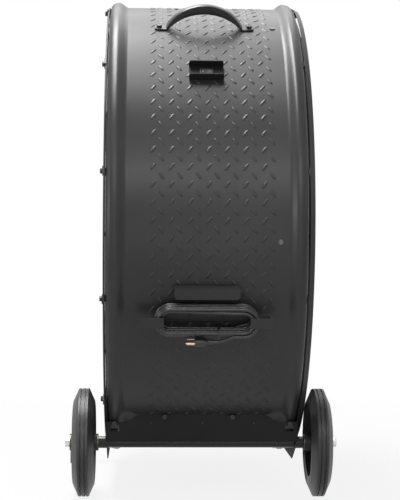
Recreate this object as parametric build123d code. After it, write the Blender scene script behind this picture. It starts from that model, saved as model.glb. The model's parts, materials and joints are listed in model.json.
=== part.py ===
from build123d import *
import math
import os

# Belt-drive drum fan on a two-wheel cradle.
# +X runs along the air axis towards the intake, -Y is the wheel side, +Z is up.
# The origin is on the floor, under the centre of the drum.  Millimetres.

# ---- drum ----
DRUM_RADIUS = 549.5        # outside of the rolled sheet
FLOOR_GAP = 92.5           # floor to the underside of the sheet
DRUM_HALF = 221.0          # outer face of each end flange
SHEET = 2.0                # drum sheet
BEAD_RISE = 12.5           # crest of the stiffening bead above the sheet
BEAD_INSET = 19.0          # flange face to the crest plane
BEAD_FOOT = 24.0           # crest plane to the foot of the bead
BEAD_CREST = 12.0          # width of the crest
FLANGE_DEEP = 15.5         # inward reach of each end flange
BOLT_INSET = 8.5           # guard bolt circle inside the sheet's radius
BOLT_COUNT = 12            # guard bolts at each end
FIRST_BOLT = 72.0          # angle of the first bolt above the wheel side
NECK = 5.0                 # square neck of the small bolts
NECK_GAP = 0.2             # clearance round a neck
HEAD_FLATS = 11.0          # small bolt head across its flats
HEAD_HIGH = 5.0            # small bolt head height
AXIS_HEIGHT = DRUM_RADIUS + FLOOR_GAP
BEAD_RADIUS = DRUM_RADIUS + BEAD_RISE
BEAD_X = DRUM_HALF - BEAD_INSET
FLANGE_RADIUS = DRUM_RADIUS - FLANGE_DEEP
BOLT_CIRCLE = DRUM_RADIUS - BOLT_INSET

# ---- fits ----
SEAT_GAP = 0.3             # between pieces that lie against each other
RUN_GAP = 0.05             # radial clearance of a running fit

# ---- guards ----
WIRE = 5.0                 # guard rim wire and spokes
RING_WIRE = 4.0            # guard ring wire
RIM_INSET = 3.0            # rim wire's centre line inside the sheet's radius
PLATE = 2.5                # cradle side plate, also the stand-off of both guards
RING_COUNT = 2             # rings that carry the spokes between the centre disc and the rim
RING_INSET = 170.0         # outer ring inside the flange's mouth
RIM_SIDES = 60             # flat-sided rim and band
RING_SIDES = 36            # flat-sided rings
DISC_RADIUS = 62.0         # guard centre disc
DISC_THICK = 3.0
DISC_SIDES = 24
SPOKE_COUNT = 12
CLIP_WIDE = 18.0           # wire clip, across the bolt circle
CLIP_THICK = 2.0
HOOP_RISE = 2.5            # rear band outside the sheet's radius, beside the drum
HOOP_TAPER = 5.0           # the band is this much smaller at its open edge
HOOP_WIDE = 11.0
HOOP_THICK = 1.5
TAB_THICK = 3.0            # rear guard tab
TAB_WIDE = 16.0
RIM_WIRE_RADIUS = DRUM_RADIUS - RIM_INSET
RING_OUTER = FLANGE_RADIUS - RING_INSET
HOOP_INNER_R = DRUM_RADIUS + HOOP_RISE
HOOP_OUTER_R = HOOP_INNER_R - HOOP_TAPER

# ---- carry handle ----
HANDLE_ANGLE = 57.0
HANDLE_SPAN = 88.0         # arch foot to centre
HANDLE_RISE = 59.5         # top of the arch above the sheet
HANDLE_THICK = 4.0
HANDLE_WIDE = 28.0
HANDLE_TAB = 28.0          # tab length outside the arch
HANDLE_CORNER = 11.0       # rounded tab ends
HANDLE_BOLT_IN = 10.5      # bolt to the end of its tab
HANDLE_BOLT_X = HANDLE_SPAN + HANDLE_TAB - HANDLE_BOLT_IN

# ---- switch ----
SWITCH_ANGLE = 38.2
GUARD_LONG = 78.0          # along the drum axis
GUARD_HIGH = 43.0          # round the drum
GUARD_DEEP = 20.0
GUARD_SHEET = 2.0
GUARD_CORNER = 6.0
BEZEL_LONG = 30.0
BEZEL_HIGH = 22.0
BEZEL_THICK = 2.5
BEZEL_EDGE = 0.8
BARREL_LONG = 25.4
BARREL_HIGH = 18.4
BARREL_DEEP = 18.0         # below the bracket web
POCKET_LONG = 23.0
POCKET_HIGH = 14.0
POCKET_DEEP = 5.0          # floor of the pocket below the drum sheet
ROCKER_HALF = 10.4         # half length of the paddle
ROCKER_END = 4.2           # paddle end above the pivot
ROCKER_DIP = 2.8           # paddle middle above the pivot
ROCKER_KEEL = 3.0          # paddle below the pivot
PIVOT_LIFT = 2.5           # pivot above the drum sheet
PIVOT_RADIUS = 1.25
PIN_SIDES = 10
PIVOT_REACH = 1.2          # pin beyond the side of the pocket
ROCKER_SIDE_GAP = 0.2

# ---- cord wrap ----
WRAP_ANGLE = -21.6
WRAP_SHEET = 2.0
WRAP_DEEP = 46.3           # outer face of the ears
POST_X = 96.5              # outer face of each post
POST_HALF = 6.0            # half width of a post beside the cord
POST_FOOT = 8.0            # foot of the narrow stretch
EAR_LONG = 49.5            # ear beyond the post
STRIP_HALF = 12.6          # half height of the strip and ears
HOOD_HALF = 72.0
HOOD_TOP = 71.0
HOOD_DEEP = 30.0           # outer face of the hood lip
HOOD_LIP = 22.0
HOOD_CORNER = 6.0
EAR_END = POST_X + EAR_LONG
RIVET_X = 37.0
RIVET_RADIUS = 4.0
RIVET_HIGH = 2.0
RIVET_SIDES = 8

# ---- supply cord ----
CORD = 8.2                 # cord diameter
CORD_SIDES = 4
SECTION_TURN = 45.0        # turn of the faceted section about the cord
LAYER_PITCH = 8.7
TURN_PITCH = 8.9
HANK_HALF = 79.0           # half length of the straight runs
HANK_OUTER = 35.0          # centre line of the outermost run
HANK_LIFT = 13.4           # centre of the first layer above the sheet
HANK_HALF_TURNS = 12
HANK_LAYER_TURNS = 3       # half turns from one climb to the next
HANK_START_X = 0.0         # where the lead runs into the hank
HANK_END_X = 70.8          # where the hank runs into the tail
PLUG_X = 14.0              # where the cord enters the plug's strain relief
PLUG_T = -48.6
PLUG_LIFT = 36.0
RELIEF_LONG = 12.0         # strain relief of the plug
RELIEF_WALL = 1.0
PLUG_LONG = 28.0
PLUG_WIDE = 24.0           # away from the drum
PLUG_DEEP = 18.0           # round the drum
PLUG_CORNER = 3.0
PRONG_LONG = 17.0          # flat blades
PRONG_WIDE = 6.4
PRONG_THICK = 1.5
PRONG_SPAN = 12.7          # between the blades
PRONG_SHIFT = 2.2          # blades off the middle of the face
PIN_LONG = 20.0            # round earth pin
PIN_RADIUS = 2.4
PIN_SHIFT = 7.5
TIE_BASE = 5.2             # underside of the tie's loop, below the lead
TIE_X = 26.0
TIE_WIDE = 4.0
TIE_THICK = 1.5
TIE_TURNS = 1.5            # width of the tied bundle in turns
GLAND_LONG = 14.0
GLAND_WIDE = 16.0
GLAND_HIGH = 12.0
GLAND_EDGE = 2.0
BOOT_LONG = 20.0           # tapered strain relief of the gland
BOOT_TIP = 4.7             # half width where the cord leaves it
BOOT_ROOT = 6.6            # half width at the gland
BOOT_HIGH = 9.6

# ---- cradle ----
PLATE_DROP = 395.0         # drum axis to the top of each side plate arm
PLATE_TIP_RISE = 15.5      # arm tip outside the bolt circle
PLATE_EDGE_GAP = 4.5       # bolt circle to the inner edge
PLATE_FLOOR = 80.0         # level bottom edge of each side plate
PLATE_FLOOR_Y = 205.0      # half length of that edge
FOOT_Y = 290.0
FOOT_BAR_Z = 55.0
LOBE = 18.0                # plate round the foot bar
WEB_Y = 327.4              # outer face of each cross web
WEB_GAP = 0.4              # level web edge to the sheet
WEB_BEAD_GAP = 0.7         # web edge to the beads
WEB_DEEP = 44.8            # end of the top edge to the fold
WEB_THICK = 2.4
WEB_EASE_IN = 22.0         # crest plane to where the edge is down under the bead
WEB_EASE_OUT = 59.0        # crest plane to the end of the level edge
WEB_RETURN = 22.0          # folded bottom edge
WINDOW_WIDE = 20.0
WINDOW_HIGH = 14.0
WINDOW_DROP = 14.8         # end of the top edge to the middle of a window
HOLE_X = 120.0
HOLE_DROP = 18.5           # top edge to the middle of a hole
HOLE_RADIUS = 2.5
HOLE_SIDES = 8
BRACKET_WIDE = 24.0
BRACKET_THICK = 2.5
BRACKET_REACH = 26.0
BRACKET_SHIFT = 2.5        # outer brackets beyond the crest planes
INNER_BRACKETS = (-88.0, 70.0)
HEAD_SINK = 1.0            # cradle bolt heads above the web's edge
WINDOW_SHIFT = 1.0         # windows beyond the crest planes
PLATE_TOP = AXIS_HEIGHT - PLATE_DROP
PLATE_TOP_Y = math.sqrt((BOLT_CIRCLE + PLATE_TIP_RISE) ** 2 - PLATE_DROP ** 2)
WEB_BACK = WEB_Y - WEB_THICK
WEB_TOP = AXIS_HEIGHT - math.sqrt(DRUM_RADIUS ** 2 - WEB_BACK ** 2) - WEB_GAP
WEB_END_TOP = AXIS_HEIGHT - math.sqrt(BEAD_RADIUS ** 2 - WEB_BACK ** 2) - WEB_BEAD_GAP
WEB_BOTTOM = WEB_END_TOP - WEB_DEEP
WEB_LOW_X = BEAD_X - WEB_EASE_IN
WEB_FLAT_X = BEAD_X - WEB_EASE_OUT
WINDOW_X = BEAD_X + WINDOW_SHIFT
WINDOW_Z = WEB_END_TOP - WINDOW_DROP
HOLE_Z = WEB_TOP - HOLE_DROP
OUTER_BRACKET_X = BEAD_X + BRACKET_SHIFT

# ---- wheels and axle ----
WHEEL_RADIUS = 127.0
TUBE_RADIUS = 12.5
TUBE_BORE = 9.5
TUBE_OUT = 21.7            # flange face to the end of the axle tube
SLEEVE_RADIUS = 14.0       # collar of the tube outside each plate
AXLE_GAP = 4.2236          # axle tube to the drum's beads
ROD_RADIUS = 8.0
TREAD_HALF = 12.0
TYRE_HALF = 25.5
SHOULDER_DROP = 32.0       # tread to the widest part of the tyre
TYRE_BORE = 80.0
BEAD_HALF = 22.0           # half width of the tyre at its bore
TYRE_SIDES = 36
DISC_HALF = 8.0
BOSS_RADIUS = 20.0
BOSS_SIDES = 16
BOSS_REACH = 31.0          # half length of the hub boss
BOSS_GAP = 3.3             # end of the axle tube to the boss
WASHER_RADIUS = 20.0
WASHER_THICK = 2.5
WASHER_SIDES = 12
NUT_FLATS = 19.0
NUT_HIGH = 10.5
FOOT_OUT = 101.0           # flange face to the middle of a foot
FOOT_WIDE = 26.0
FOOT_LONG = 52.0
FOOT_TOP = 74.0
FOOT_DRAFT = 5.0
FOOT_CAP = 4.0             # rubber over the end of the foot bar
FOOT_SIDES = 12
TUBE_END = DRUM_HALF + TUBE_OUT
BOSS_IN = TUBE_END + BOSS_GAP
WHEEL_X = BOSS_IN + BOSS_REACH
BOSS_OUT = WHEEL_X + BOSS_REACH
SHOULDER_R = WHEEL_RADIUS - SHOULDER_DROP
AXLE_RISE = AXIS_HEIGHT - WHEEL_RADIUS
AXLE_Y = -math.sqrt((BEAD_RADIUS + AXLE_GAP + TUBE_RADIUS) ** 2 - AXLE_RISE ** 2)
FOOT_X = DRUM_HALF + FOOT_OUT

# ---- drive ----
SHAFT_RADIUS = 12.7
SHAFT_INSET = 9.0          # flange face to the pulley end of the fan shaft
PULLEY_INSET = 25.0        # flange face to the middle of the belt
BEAM_INSET = 46.0          # flange face to the nearer side of both beams
BEAM_WIDE = 135.0
BEAM_DROP = 36.5           # shaft centre to the top of the bearing beam
BEAM_DEEP = 42.0
BEAM_THICK = 4.0
BLOCK_INSET = (22.0, 110.0)
BLOCK_LONG = 127.0
BLOCK_WIDE = 38.0
BLOCK_BASE = 15.0
BLOCK_HEAD = 31.0
BLOCK_SHOULDER = 6.0       # foot of the housing beyond its head
BLOCK_BOLT_Y = 48.0
BLOCK_SIDES = 16
BELT_TOP = 13.0
BELT_HIGH = 8.0
BELT_TURN = 10.0           # angle of one flat of the belt
BELT_LIFT = 0.45           # corners of the belt's flats outside its round
BELT_SLOPE = 2.6           # the belt is this much narrower inside, per side
FAN_PULLEY_R = 124.0
MOTOR_PULLEY_R = 37.0
GROOVE_GAP = 0.3
FLANGE_EDGE = 4.0          # pulley beside the groove
FAN_PULLEY_SIDES = 32
MOTOR_PULLEY_SIDES = 20
MOTOR_BEAM_GAP = 94.5      # underside of the motor beam to the sheet's radius
MOTOR_HANG = 90.0          # motor shaft below the motor beam
MOTOR_RADIUS = 78.0
MOTOR_SIDES = 24
MOTOR_LONG = 124.0
MOTOR_LEAD = 4.0           # motor ahead of the beam's edge
MOTOR_BELL = 14.0
BELL_RADIUS = 62.0
MOTOR_BOSS = 22.0
BOSS_PROUD = 2.0           # boss beyond the cradle's cheek
MOTOR_SHAFT_R = 8.0
CRADLE_HALF = 45.0
CRADLE_THICK = 4.0
CHEEK_DROP = 31.0          # cheek below the motor shaft
MOTOR_BOX_INSET = 26.0
MOTOR_BOX_LONG = 66.0
MOTOR_BOX_HIGH = 84.0
MOTOR_BOX_DEEP = 40.0
MOTOR_BOX_SINK = 6.0
MOTOR_BOLT_IN = 25.0       # motor bolts from the sides of the beam
MOTOR_BOLT_Y = 30.0
CABLE = 8.0
CABLE_START_X = 6.0        # switch end of the motor's lead
CABLE_DROP = 36.0          # straight stretch below the switch
CABLE_BENDS = ((50.0, 84.0, -30.0), (84.0, 150.0, 6.0))
CABLE_RUN_IN = 58.0        # straight stretch into the wiring box
SHAFT_REAR = DRUM_HALF - SHAFT_INSET
PULLEY_X = DRUM_HALF - PULLEY_INSET
BEAM_X1 = DRUM_HALF - BEAM_INSET
BEAM_X0 = BEAM_X1 - BEAM_WIDE
BLOCK_X = tuple(BEAM_X0 + x for x in BLOCK_INSET)
MOTOR_BEAM_RISE = DRUM_RADIUS - MOTOR_BEAM_GAP
MOTOR_RISE = MOTOR_BEAM_RISE - MOTOR_HANG
MOTOR_X0 = BEAM_X0 - MOTOR_LEAD
MOTOR_X1 = MOTOR_X0 + MOTOR_LONG
MOTOR_BOX_X = (MOTOR_X0 + MOTOR_BOX_INSET, MOTOR_X0 + MOTOR_BOX_INSET + MOTOR_BOX_LONG)

SCREW_IN = 15.0            # drum screws from the side of the beams
SCREW_RISE = 7.0           # upper screws above the motor beam's underside
LONE_SCREW = (-62.0, 75.0) # x and angle of the single screw near the top
LONE_FLATS = 8.0

# ---- fan wheel ----
FAN_INSET = 137.0          # outlet flange face to the middle plane of the blades
SHAFT_STUB = 12.0          # shaft ahead of that plane
BLADE_COUNT = 4
TIP_GAP = 5.0              # blade tip to the mouth of the drum
BLADE_ROOT = 92.0
BLADE_CHORD = 262.0
BLADE_ROOT_CHORD = 150.0
BLADE_PITCH = 30.0
BLADE_CURVE = 420.0
BLADE_THICK = 2.5
ARM_THICK = 5.0
ARM_WIDE = 70.0
ARM_START = 15.0
ARM_END = 215.0
HUB_RADIUS = 38.0
HUB_LONG = 62.0
HUB_SIDES = 16
RIVET_STEPS = (125.0, 160.0, 195.0)
BLADE_SPARE = 1.02         # sheet wider than the blade's chord before trimming
BLADE_BELLY = 0.45         # belly of the blade's edges, as a share of its length
LEAD_BELLY = 0.93          # leading edge at the belly, as a share of half the chord
TRAIL_BELLY = 0.80         # trailing edge at the belly
TRAIL_TIP = 0.86           # trailing edge at the tip
RIVET_HEAD_SIDES = 6
BLADE_RIVET = 4.5
BLADE_RIVET_HIGH = 2.0
FAN_X = FAN_INSET - DRUM_HALF
SHAFT_FRONT = FAN_X - SHAFT_STUB
BLADE_TIP = FLANGE_RADIUS - TIP_GAP

AXIS_AT = Location((0, 0, AXIS_HEIGHT))
PARTS = {}


def drum_plane(angle, x=0.0):
    """Tangent plane on the drum: local x is axial, y goes up round it, z is outward."""
    a = math.radians(angle)
    out = (0, -math.cos(a), math.sin(a))
    spot = (x, out[1] * DRUM_RADIUS, AXIS_HEIGHT + out[2] * DRUM_RADIUS)
    return Plane(origin=spot, x_dir=(1, 0, 0), z_dir=out)


def put(plane, shape):
    """Move a shape that was drawn about the origin onto a plane."""
    return plane.location * shape


def block(x0, x1, y0, y1, z0, z1):
    """Box between two corners."""
    box = Box(x1 - x0, y1 - y0, z1 - z0)
    return Pos((x0 + x1) / 2, (y0 + y1) / 2, (z0 + z1) / 2) * box


def outline(points):
    """Flat face inside a closed run of points."""
    return make_face(Polyline(*points, close=True))


def turned(points):
    """Solid of revolution round X from (x, radius) points."""
    return revolve(outline(points), Axis.X, 360)


def rod(x0, x1, radius):
    """Round bar along X."""
    bar = Cylinder(radius, x1 - x0)
    return Pos((x0 + x1) / 2, 0, 0) * Rot(0, 90, 0) * bar


def facet_loft(rings):
    """Closed solid of flat faces between each ring of points and the next, the last to the first."""
    faces = []
    for ring, near in zip(rings, rings[1:] + rings[:1]):
        for k in range(len(ring)):
            faces.append(Face(Wire.make_polygon([ring[k - 1], ring[k], near[k], near[k - 1]])))
    return Solid(Shell(faces))


def facet_turned(points, sides):
    """Flat-sided solid of revolution round X from closed (x, radius) points."""
    step = 2 * math.pi / sides
    rings = []
    for x, r in points:
        rings.append([(x, r * math.cos(step * k), r * math.sin(step * k)) for k in range(sides)])
    return facet_loft(rings)


def around(radius, sides):
    """Corner radius of a flat-sided bore that clears a radius."""
    return radius / math.cos(math.pi / sides)


def facet_bar(x0, x1, radius, sides):
    """Flat-sided round bar along X between two planes; its corners lie on the radius."""
    face = Plane.YZ * RegularPolygon(radius, sides)
    return Pos(x0, 0, 0) * extrude(face, x1 - x0)


def plate_yz(points, x0, x1):
    """Plate between two X planes from (y, z) points."""
    face = Plane.YZ * outline(points)
    return Pos(x0, 0, 0) * extrude(face, x1 - x0)


def hex_bar(flats, height):
    """Hexagonal prism on the XY plane."""
    return extrude(RegularPolygon(flats / 2, 6, major_radius=False), height)


def on_x(shape, x, side=1):
    """Turn a shape drawn along +Z to point along +X, or -X for side -1."""
    return Pos(x, 0, 0) * Rot(0, 90 * side, 0) * shape


def keep(name, *shapes):
    """Put one or more separate solids under one node name."""
    solids = []
    for shape in shapes:
        solids.extend(shape.solids())
    PARTS[name] = solids[0] if len(solids) == 1 else Compound(children=solids)


def bolt_angles():
    """Angles of the guard bolts, from the wheel side upwards."""
    return [FIRST_BOLT - 360 / BOLT_COUNT * i for i in range(BOLT_COUNT)]


def round_axis(shape, angle):
    """Turn a shape drawn at angle 0, the wheel side, round the drum axis, and lift it there."""
    return AXIS_AT * Rot(-angle, 0, 0) * shape


def tangent(point, centre, radius, side):
    """Point where a line from a point touches a circle."""
    dx = centre[0] - point[0]
    dy = centre[1] - point[1]
    far = math.hypot(dx, dy)
    turn = math.atan2(dy, dx) + side * math.asin(radius / far)
    reach = math.sqrt(far * far - radius * radius)
    return (point[0] + reach * math.cos(turn), point[1] + reach * math.sin(turn))


# ---------------------------------------------------------------- drum shell
def drum_section():
    """Closed section of the drum's sheet, its two beads and its end flanges."""
    foot = BEAD_X - BEAD_FOOT
    crest = BEAD_CREST / 2
    outer = [(foot, DRUM_RADIUS), (BEAD_X - crest, BEAD_RADIUS), (BEAD_X + crest, BEAD_RADIUS),
             (DRUM_HALF, DRUM_RADIUS), (DRUM_HALF, FLANGE_RADIUS)]
    inner = [(DRUM_HALF - SHEET, FLANGE_RADIUS), (DRUM_HALF - SHEET, DRUM_RADIUS - SHEET / 2),
             (BEAD_X, BEAD_RADIUS - SHEET), (foot, DRUM_RADIUS - SHEET)]
    before = [(-x, r) for x, r in reversed(outer)]
    after = [(-x, r) for x, r in reversed(inner)]
    return before + outer + inner + after





def make_drum():
    """Rolled sheet with two beads and an inward flange at each end."""
    slot = block(-BARREL_LONG / 2 - NECK_GAP, BARREL_LONG / 2 + NECK_GAP,
                 -BARREL_HIGH / 2 - NECK_GAP, BARREL_HIGH / 2 + NECK_GAP,
                 -BARREL_DEEP, BARREL_DEEP)
    drum = AXIS_AT * turned(drum_section())
    keep("drum_shell", drum - put(drum_plane(SWITCH_ANGLE), slot))


# ---------------------------------------------------------------- guards
def small_bolt(grip, below):
    """Hex bolt along +Z: head above z = 0, square neck below it."""
    neck = block(-NECK / 2, NECK / 2, -NECK / 2, NECK / 2, -grip - below, 0)
    return hex_bar(HEAD_FLATS, HEAD_HIGH) + neck


def ring_radii():
    """Centre-line radii of the guard rings."""
    step = (RING_OUTER - DISC_RADIUS) / RING_COUNT
    return [DISC_RADIUS + step * (i + 1) for i in range(RING_COUNT)]


def wire_ring(radius, x, side):
    """Ring of three-sided wire with its flat side against the spokes at x."""
    half = RING_WIRE / 2
    section = [(x, radius - half), (x, radius + half), (x + side * RING_WIRE, radius)]
    return AXIS_AT * facet_turned(section, RING_SIDES)


def spokes(x, reach):
    """Straight wires from the centre disc to the rim."""
    wire = block(x - WIRE / 2, x + WIRE / 2, -reach, -DISC_RADIUS, -WIRE / 2, WIRE / 2)
    step = 360 / SPOKE_COUNT
    angles = [FIRST_BOLT + step / 2 + step * i for i in range(SPOKE_COUNT)]
    return [round_axis(wire, a) for a in angles]


def guard_disc(x):
    """Plain disc in the middle of a guard."""
    disc = facet_bar(x - DISC_THICK / 2, x + DISC_THICK / 2, DISC_RADIUS - SEAT_GAP, DISC_SIDES)
    return AXIS_AT * disc


def make_front_guard():
    """Outlet guard: a wire rim, rings and spokes in front of the flange."""
    x = -DRUM_HALF - PLATE - WIRE / 2
    half = WIRE / 2
    section = [(x - half, RIM_WIRE_RADIUS - half), (x - half, RIM_WIRE_RADIUS + half),
               (x + half, RIM_WIRE_RADIUS)]
    rim = AXIS_AT * facet_turned(section, RIM_SIDES)
    rings = [wire_ring(r, x + half, 1) for r in ring_radii()]
    reach = (RIM_WIRE_RADIUS - half) * math.cos(math.pi / RIM_SIDES) - RUN_GAP
    keep("front_guard_rim", rim)
    keep("front_guard", *rings, *spokes(x, reach), guard_disc(x))


def make_clips():
    """Clips that hold the outlet guard's rim wire."""
    face = -DRUM_HALF - PLATE - WIRE
    outer = -RIM_WIRE_RADIUS - WIRE / 2 - SEAT_GAP
    leg = -FLANGE_RADIUS - SEAT_GAP
    top = face - CLIP_THICK
    points = [(leg, -DRUM_HALF), (leg, top), (outer - CLIP_THICK, top),
              (outer - CLIP_THICK, face + WIRE / 2), (outer, face + WIRE / 2),
              (outer, face), (leg - CLIP_THICK, face), (leg - CLIP_THICK, -DRUM_HALF)]
    face_xy = outline([(x, y) for y, x in points])
    clip = Pos(0, 0, -CLIP_WIDE / 2) * extrude(face_xy, CLIP_WIDE)
    keep("front_guard_clips", *[round_axis(clip, a) for a in bolt_angles()])


def make_guard_bolts():
    """Hex heads that hold the clips and the intake guard's tabs to the drum's flanges."""
    head = hex_bar(HEAD_FLATS, HEAD_HIGH)
    front = on_x(head, -DRUM_HALF - PLATE - WIRE - CLIP_THICK, -1)
    rear = on_x(head, DRUM_HALF + PLATE + TAB_THICK)
    heads = []
    for bolt in (front, rear):
        heads += [round_axis(Pos(0, -BOLT_CIRCLE, 0) * bolt, a) for a in bolt_angles()]
    keep("guard_bolts", *heads)


def make_rear_guard():
    """Intake guard: a flat band with tabs, rings and spokes inside it."""
    x0 = DRUM_HALF + PLATE + HOOP_THICK
    x1 = x0 + HOOP_WIDE
    section = [(x0, HOOP_INNER_R), (x1, HOOP_OUTER_R), (x1, HOOP_OUTER_R - HOOP_THICK),
               (x0, HOOP_INNER_R - HOOP_THICK)]
    band = AXIS_AT * facet_turned(section, RIM_SIDES)
    half_turn = math.pi / RIM_SIDES
    face = DRUM_HALF + PLATE + TAB_THICK
    edge = band_inside(face - x0) - TAB_WIDE / 2 * math.tan(half_turn) - RUN_GAP
    inner = -BOLT_CIRCLE + HEAD_FLATS / 2
    half = TAB_WIDE / 2
    tab = block(DRUM_HALF + PLATE, face, -edge, inner, -half, half)
    padded = tab + block(DRUM_HALF, face, -BOLT_CIRCLE - HEAD_FLATS / 2, inner, -half, half)
    tabs = [round_axis(tab if on_cradle(a) else padded, a) for a in bolt_angles()]
    x = x1 - WIRE / 2 - HOOP_THICK
    rings = [wire_ring(r, x - WIRE / 2, -1) for r in ring_radii()]
    reach = band_inside(x + WIRE / 2 - x0) * math.cos(half_turn) - RUN_GAP
    keep("rear_guard_band", band)
    keep("rear_guard", *tabs, *rings, *spokes(x, reach), guard_disc(x))


def band_inside(along):
    """Inner radius of the rear band at a distance from its edge beside the drum."""
    return HOOP_INNER_R - HOOP_THICK - HOOP_TAPER * along / HOOP_WIDE





def on_cradle(angle):
    """True for the bolts that also hold a cradle side plate."""
    z = AXIS_HEIGHT + BOLT_CIRCLE * math.sin(math.radians(angle))
    return z < PLATE_TOP


# ---------------------------------------------------------------- handle and switch
def make_handle():
    """Arched strap handle with a bolt tab at each end."""
    mid = HANDLE_THICK / 2
    rise = HANDLE_RISE - HANDLE_THICK
    radius = (HANDLE_SPAN ** 2 + rise ** 2) / (2 * rise)
    drop = HANDLE_RISE - mid - radius
    arch = Pos(0, drop) * (Circle(radius + mid) - Circle(radius - mid))
    arch &= Pos(0, HANDLE_RISE / 2) * Rectangle(4 * HANDLE_SPAN, HANDLE_RISE)
    tabs = []
    for s in (-1, 1):
        inner = HANDLE_SPAN - HANDLE_THICK / 2
        outer = HANDLE_SPAN + HANDLE_TAB
        tabs.append(Pos(s * (inner + outer) / 2, mid) * Rectangle(outer - inner, HANDLE_THICK))
    side = Rot(90, 0, 0) * (arch + tabs)
    strap = Pos(0, HANDLE_WIDE / 2, 0) * extrude(side, HANDLE_WIDE, dir=(0, -1, 0))
    ends = strap.edges().filter_by(Axis.Z).sort_by(Axis.X)
    strap = fillet(ends[:2] + ends[-2:], HANDLE_CORNER)
    hole = block(-NECK / 2 - NECK_GAP, NECK / 2 + NECK_GAP, -NECK / 2 - NECK_GAP,
                 NECK / 2 + NECK_GAP, -1, HANDLE_THICK + 1)
    strap -= [Pos(s * HANDLE_BOLT_X, 0, 0) * hole for s in (-1, 1)]
    plane = drum_plane(HANDLE_ANGLE)
    keep("carry_handle", put(plane, strap))
    bolt = Pos(0, 0, HANDLE_THICK) * small_bolt(HANDLE_THICK - SEAT_GAP, 0)
    keep("handle_bolts", *[put(plane, Pos(s * HANDLE_BOLT_X, 0, 0) * bolt) for s in (-1, 1)])


def make_switch_guard():
    """U-channel bracket round the switch, with rounded flange corners."""
    long = GUARD_LONG / 2
    high = GUARD_HIGH / 2
    body = block(-long, long, -high, high, 0, GUARD_DEEP)
    inside = block(-long - 1, long + 1, -high + GUARD_SHEET, high - GUARD_SHEET,
                   GUARD_SHEET, GUARD_DEEP + 1)
    channel = body - inside
    corners = channel.edges().filter_by(Axis.Y).group_by(Axis.Z)[-1]
    channel = fillet(corners, GUARD_CORNER)
    gap = NECK_GAP
    channel -= block(-BARREL_LONG / 2 - gap, BARREL_LONG / 2 + gap, -BARREL_HIGH / 2 - gap,
                     BARREL_HIGH / 2 + gap, -1, GUARD_SHEET + 1)
    keep("switch_guard", put(drum_plane(SWITCH_ANGLE), channel))


def cross_pin(radius, reach):
    """Flat-sided pin along Y through the origin."""
    face = Plane.XZ * RegularPolygon(radius, PIN_SIDES)
    return extrude(face, reach, both=True)


def make_switch():
    """Three-position rocker switch: a body with a pocket, and the paddle on its pins."""
    top = GUARD_SHEET + BEZEL_THICK
    floor = -POCKET_DEEP
    bezel = block(-BEZEL_LONG / 2, BEZEL_LONG / 2, -BEZEL_HIGH / 2, BEZEL_HIGH / 2,
                  GUARD_SHEET, top)
    bezel = chamfer(bezel.edges().group_by(Axis.Z)[-1], BEZEL_EDGE)
    barrel = block(-BARREL_LONG / 2, BARREL_LONG / 2, -BARREL_HIGH / 2, BARREL_HIGH / 2,
                   -BARREL_DEEP + GUARD_SHEET, GUARD_SHEET)
    pocket = block(-POCKET_LONG / 2, POCKET_LONG / 2, -POCKET_HIGH / 2, POCKET_HIGH / 2,
                   floor, top + 1)
    pin_reach = POCKET_HIGH / 2 + PIVOT_REACH
    bore = cross_pin(around(PIVOT_RADIUS + RUN_GAP, PIN_SIDES), pin_reach + SEAT_GAP)
    body = bezel + barrel - pocket - Pos(0, 0, PIVOT_LIFT) * bore
    paddle = outline([(-ROCKER_HALF, -ROCKER_END / 4), (-ROCKER_HALF, ROCKER_END),
                      (0, ROCKER_DIP), (ROCKER_HALF, ROCKER_END),
                      (ROCKER_HALF, -ROCKER_END / 4), (ROCKER_HALF / 2, -ROCKER_KEEL),
                      (-ROCKER_HALF / 2, -ROCKER_KEEL)])
    half = POCKET_HIGH / 2 - ROCKER_SIDE_GAP
    rocker = Pos(0, half, 0) * extrude(Rot(90, 0, 0) * paddle, 2 * half, dir=(0, -1, 0))
    rocker += cross_pin(PIVOT_RADIUS, pin_reach)
    plane = drum_plane(SWITCH_ANGLE)
    keep("switch_body", put(plane, body))
    keep("switch_rocker", put(plane, Pos(0, 0, PIVOT_LIFT) * rocker))


# ---------------------------------------------------------------- cord wrap and cord
def make_cord_wrap():
    """Bent strip with two posts and ears, and a hood over the top run of the cord."""
    t = WRAP_SHEET
    deep = WRAP_DEEP
    half = [(0, 0), (POST_X, 0), (POST_X, deep - t), (EAR_END, deep - t), (EAR_END, deep),
            (POST_X - t, deep), (POST_X - t, t), (0, t)]
    strips = []
    for s in (-1, 1):
        face = Rot(90, 0, 0) * outline([(s * x, z) for x, z in half])
        strips.append(Pos(0, STRIP_HALF, 0) * extrude(face, 2 * STRIP_HALF, dir=(0, -1, 0)))
    hood = block(-HOOD_HALF, HOOD_HALF, 0, HOOD_TOP, 0, t)
    hood += block(-HOOD_HALF, HOOD_HALF, HOOD_TOP - t, HOOD_TOP, 0, HOOD_DEEP)
    lip = block(-HOOD_HALF, HOOD_HALF, HOOD_TOP - HOOD_LIP, HOOD_TOP, HOOD_DEEP - t, HOOD_DEEP)
    lip = chamfer(lip.edges().filter_by(Axis.Z).group_by(Axis.Y)[0], HOOD_CORNER)
    rivet = extrude(RegularPolygon(RIVET_RADIUS, RIVET_SIDES), RIVET_HIGH)
    plane = drum_plane(WRAP_ANGLE)
    keep("cord_wrap", put(plane, strips[0] + strips[1] + hood + lip - post_notches()))
    spots = [Pos(s * RIVET_X, 0, t) for s in (-1, 1)]
    keep("cord_wrap_rivets", *[put(plane, p * rivet) for p in spots])


def post_notches():
    """Space at both edges of each post for the turns of the cord."""
    cuts = []
    for side in (-1, 1):
        ends = sorted((side * POST_HALF, side * 2 * STRIP_HALF))
        cut = block(POST_X - 2 * WRAP_SHEET, POST_X + 1, *ends, POST_FOOT, WRAP_DEEP - WRAP_SHEET)
        cuts += [cut, mirror(cut, Plane.YZ)]
    return cuts


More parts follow.
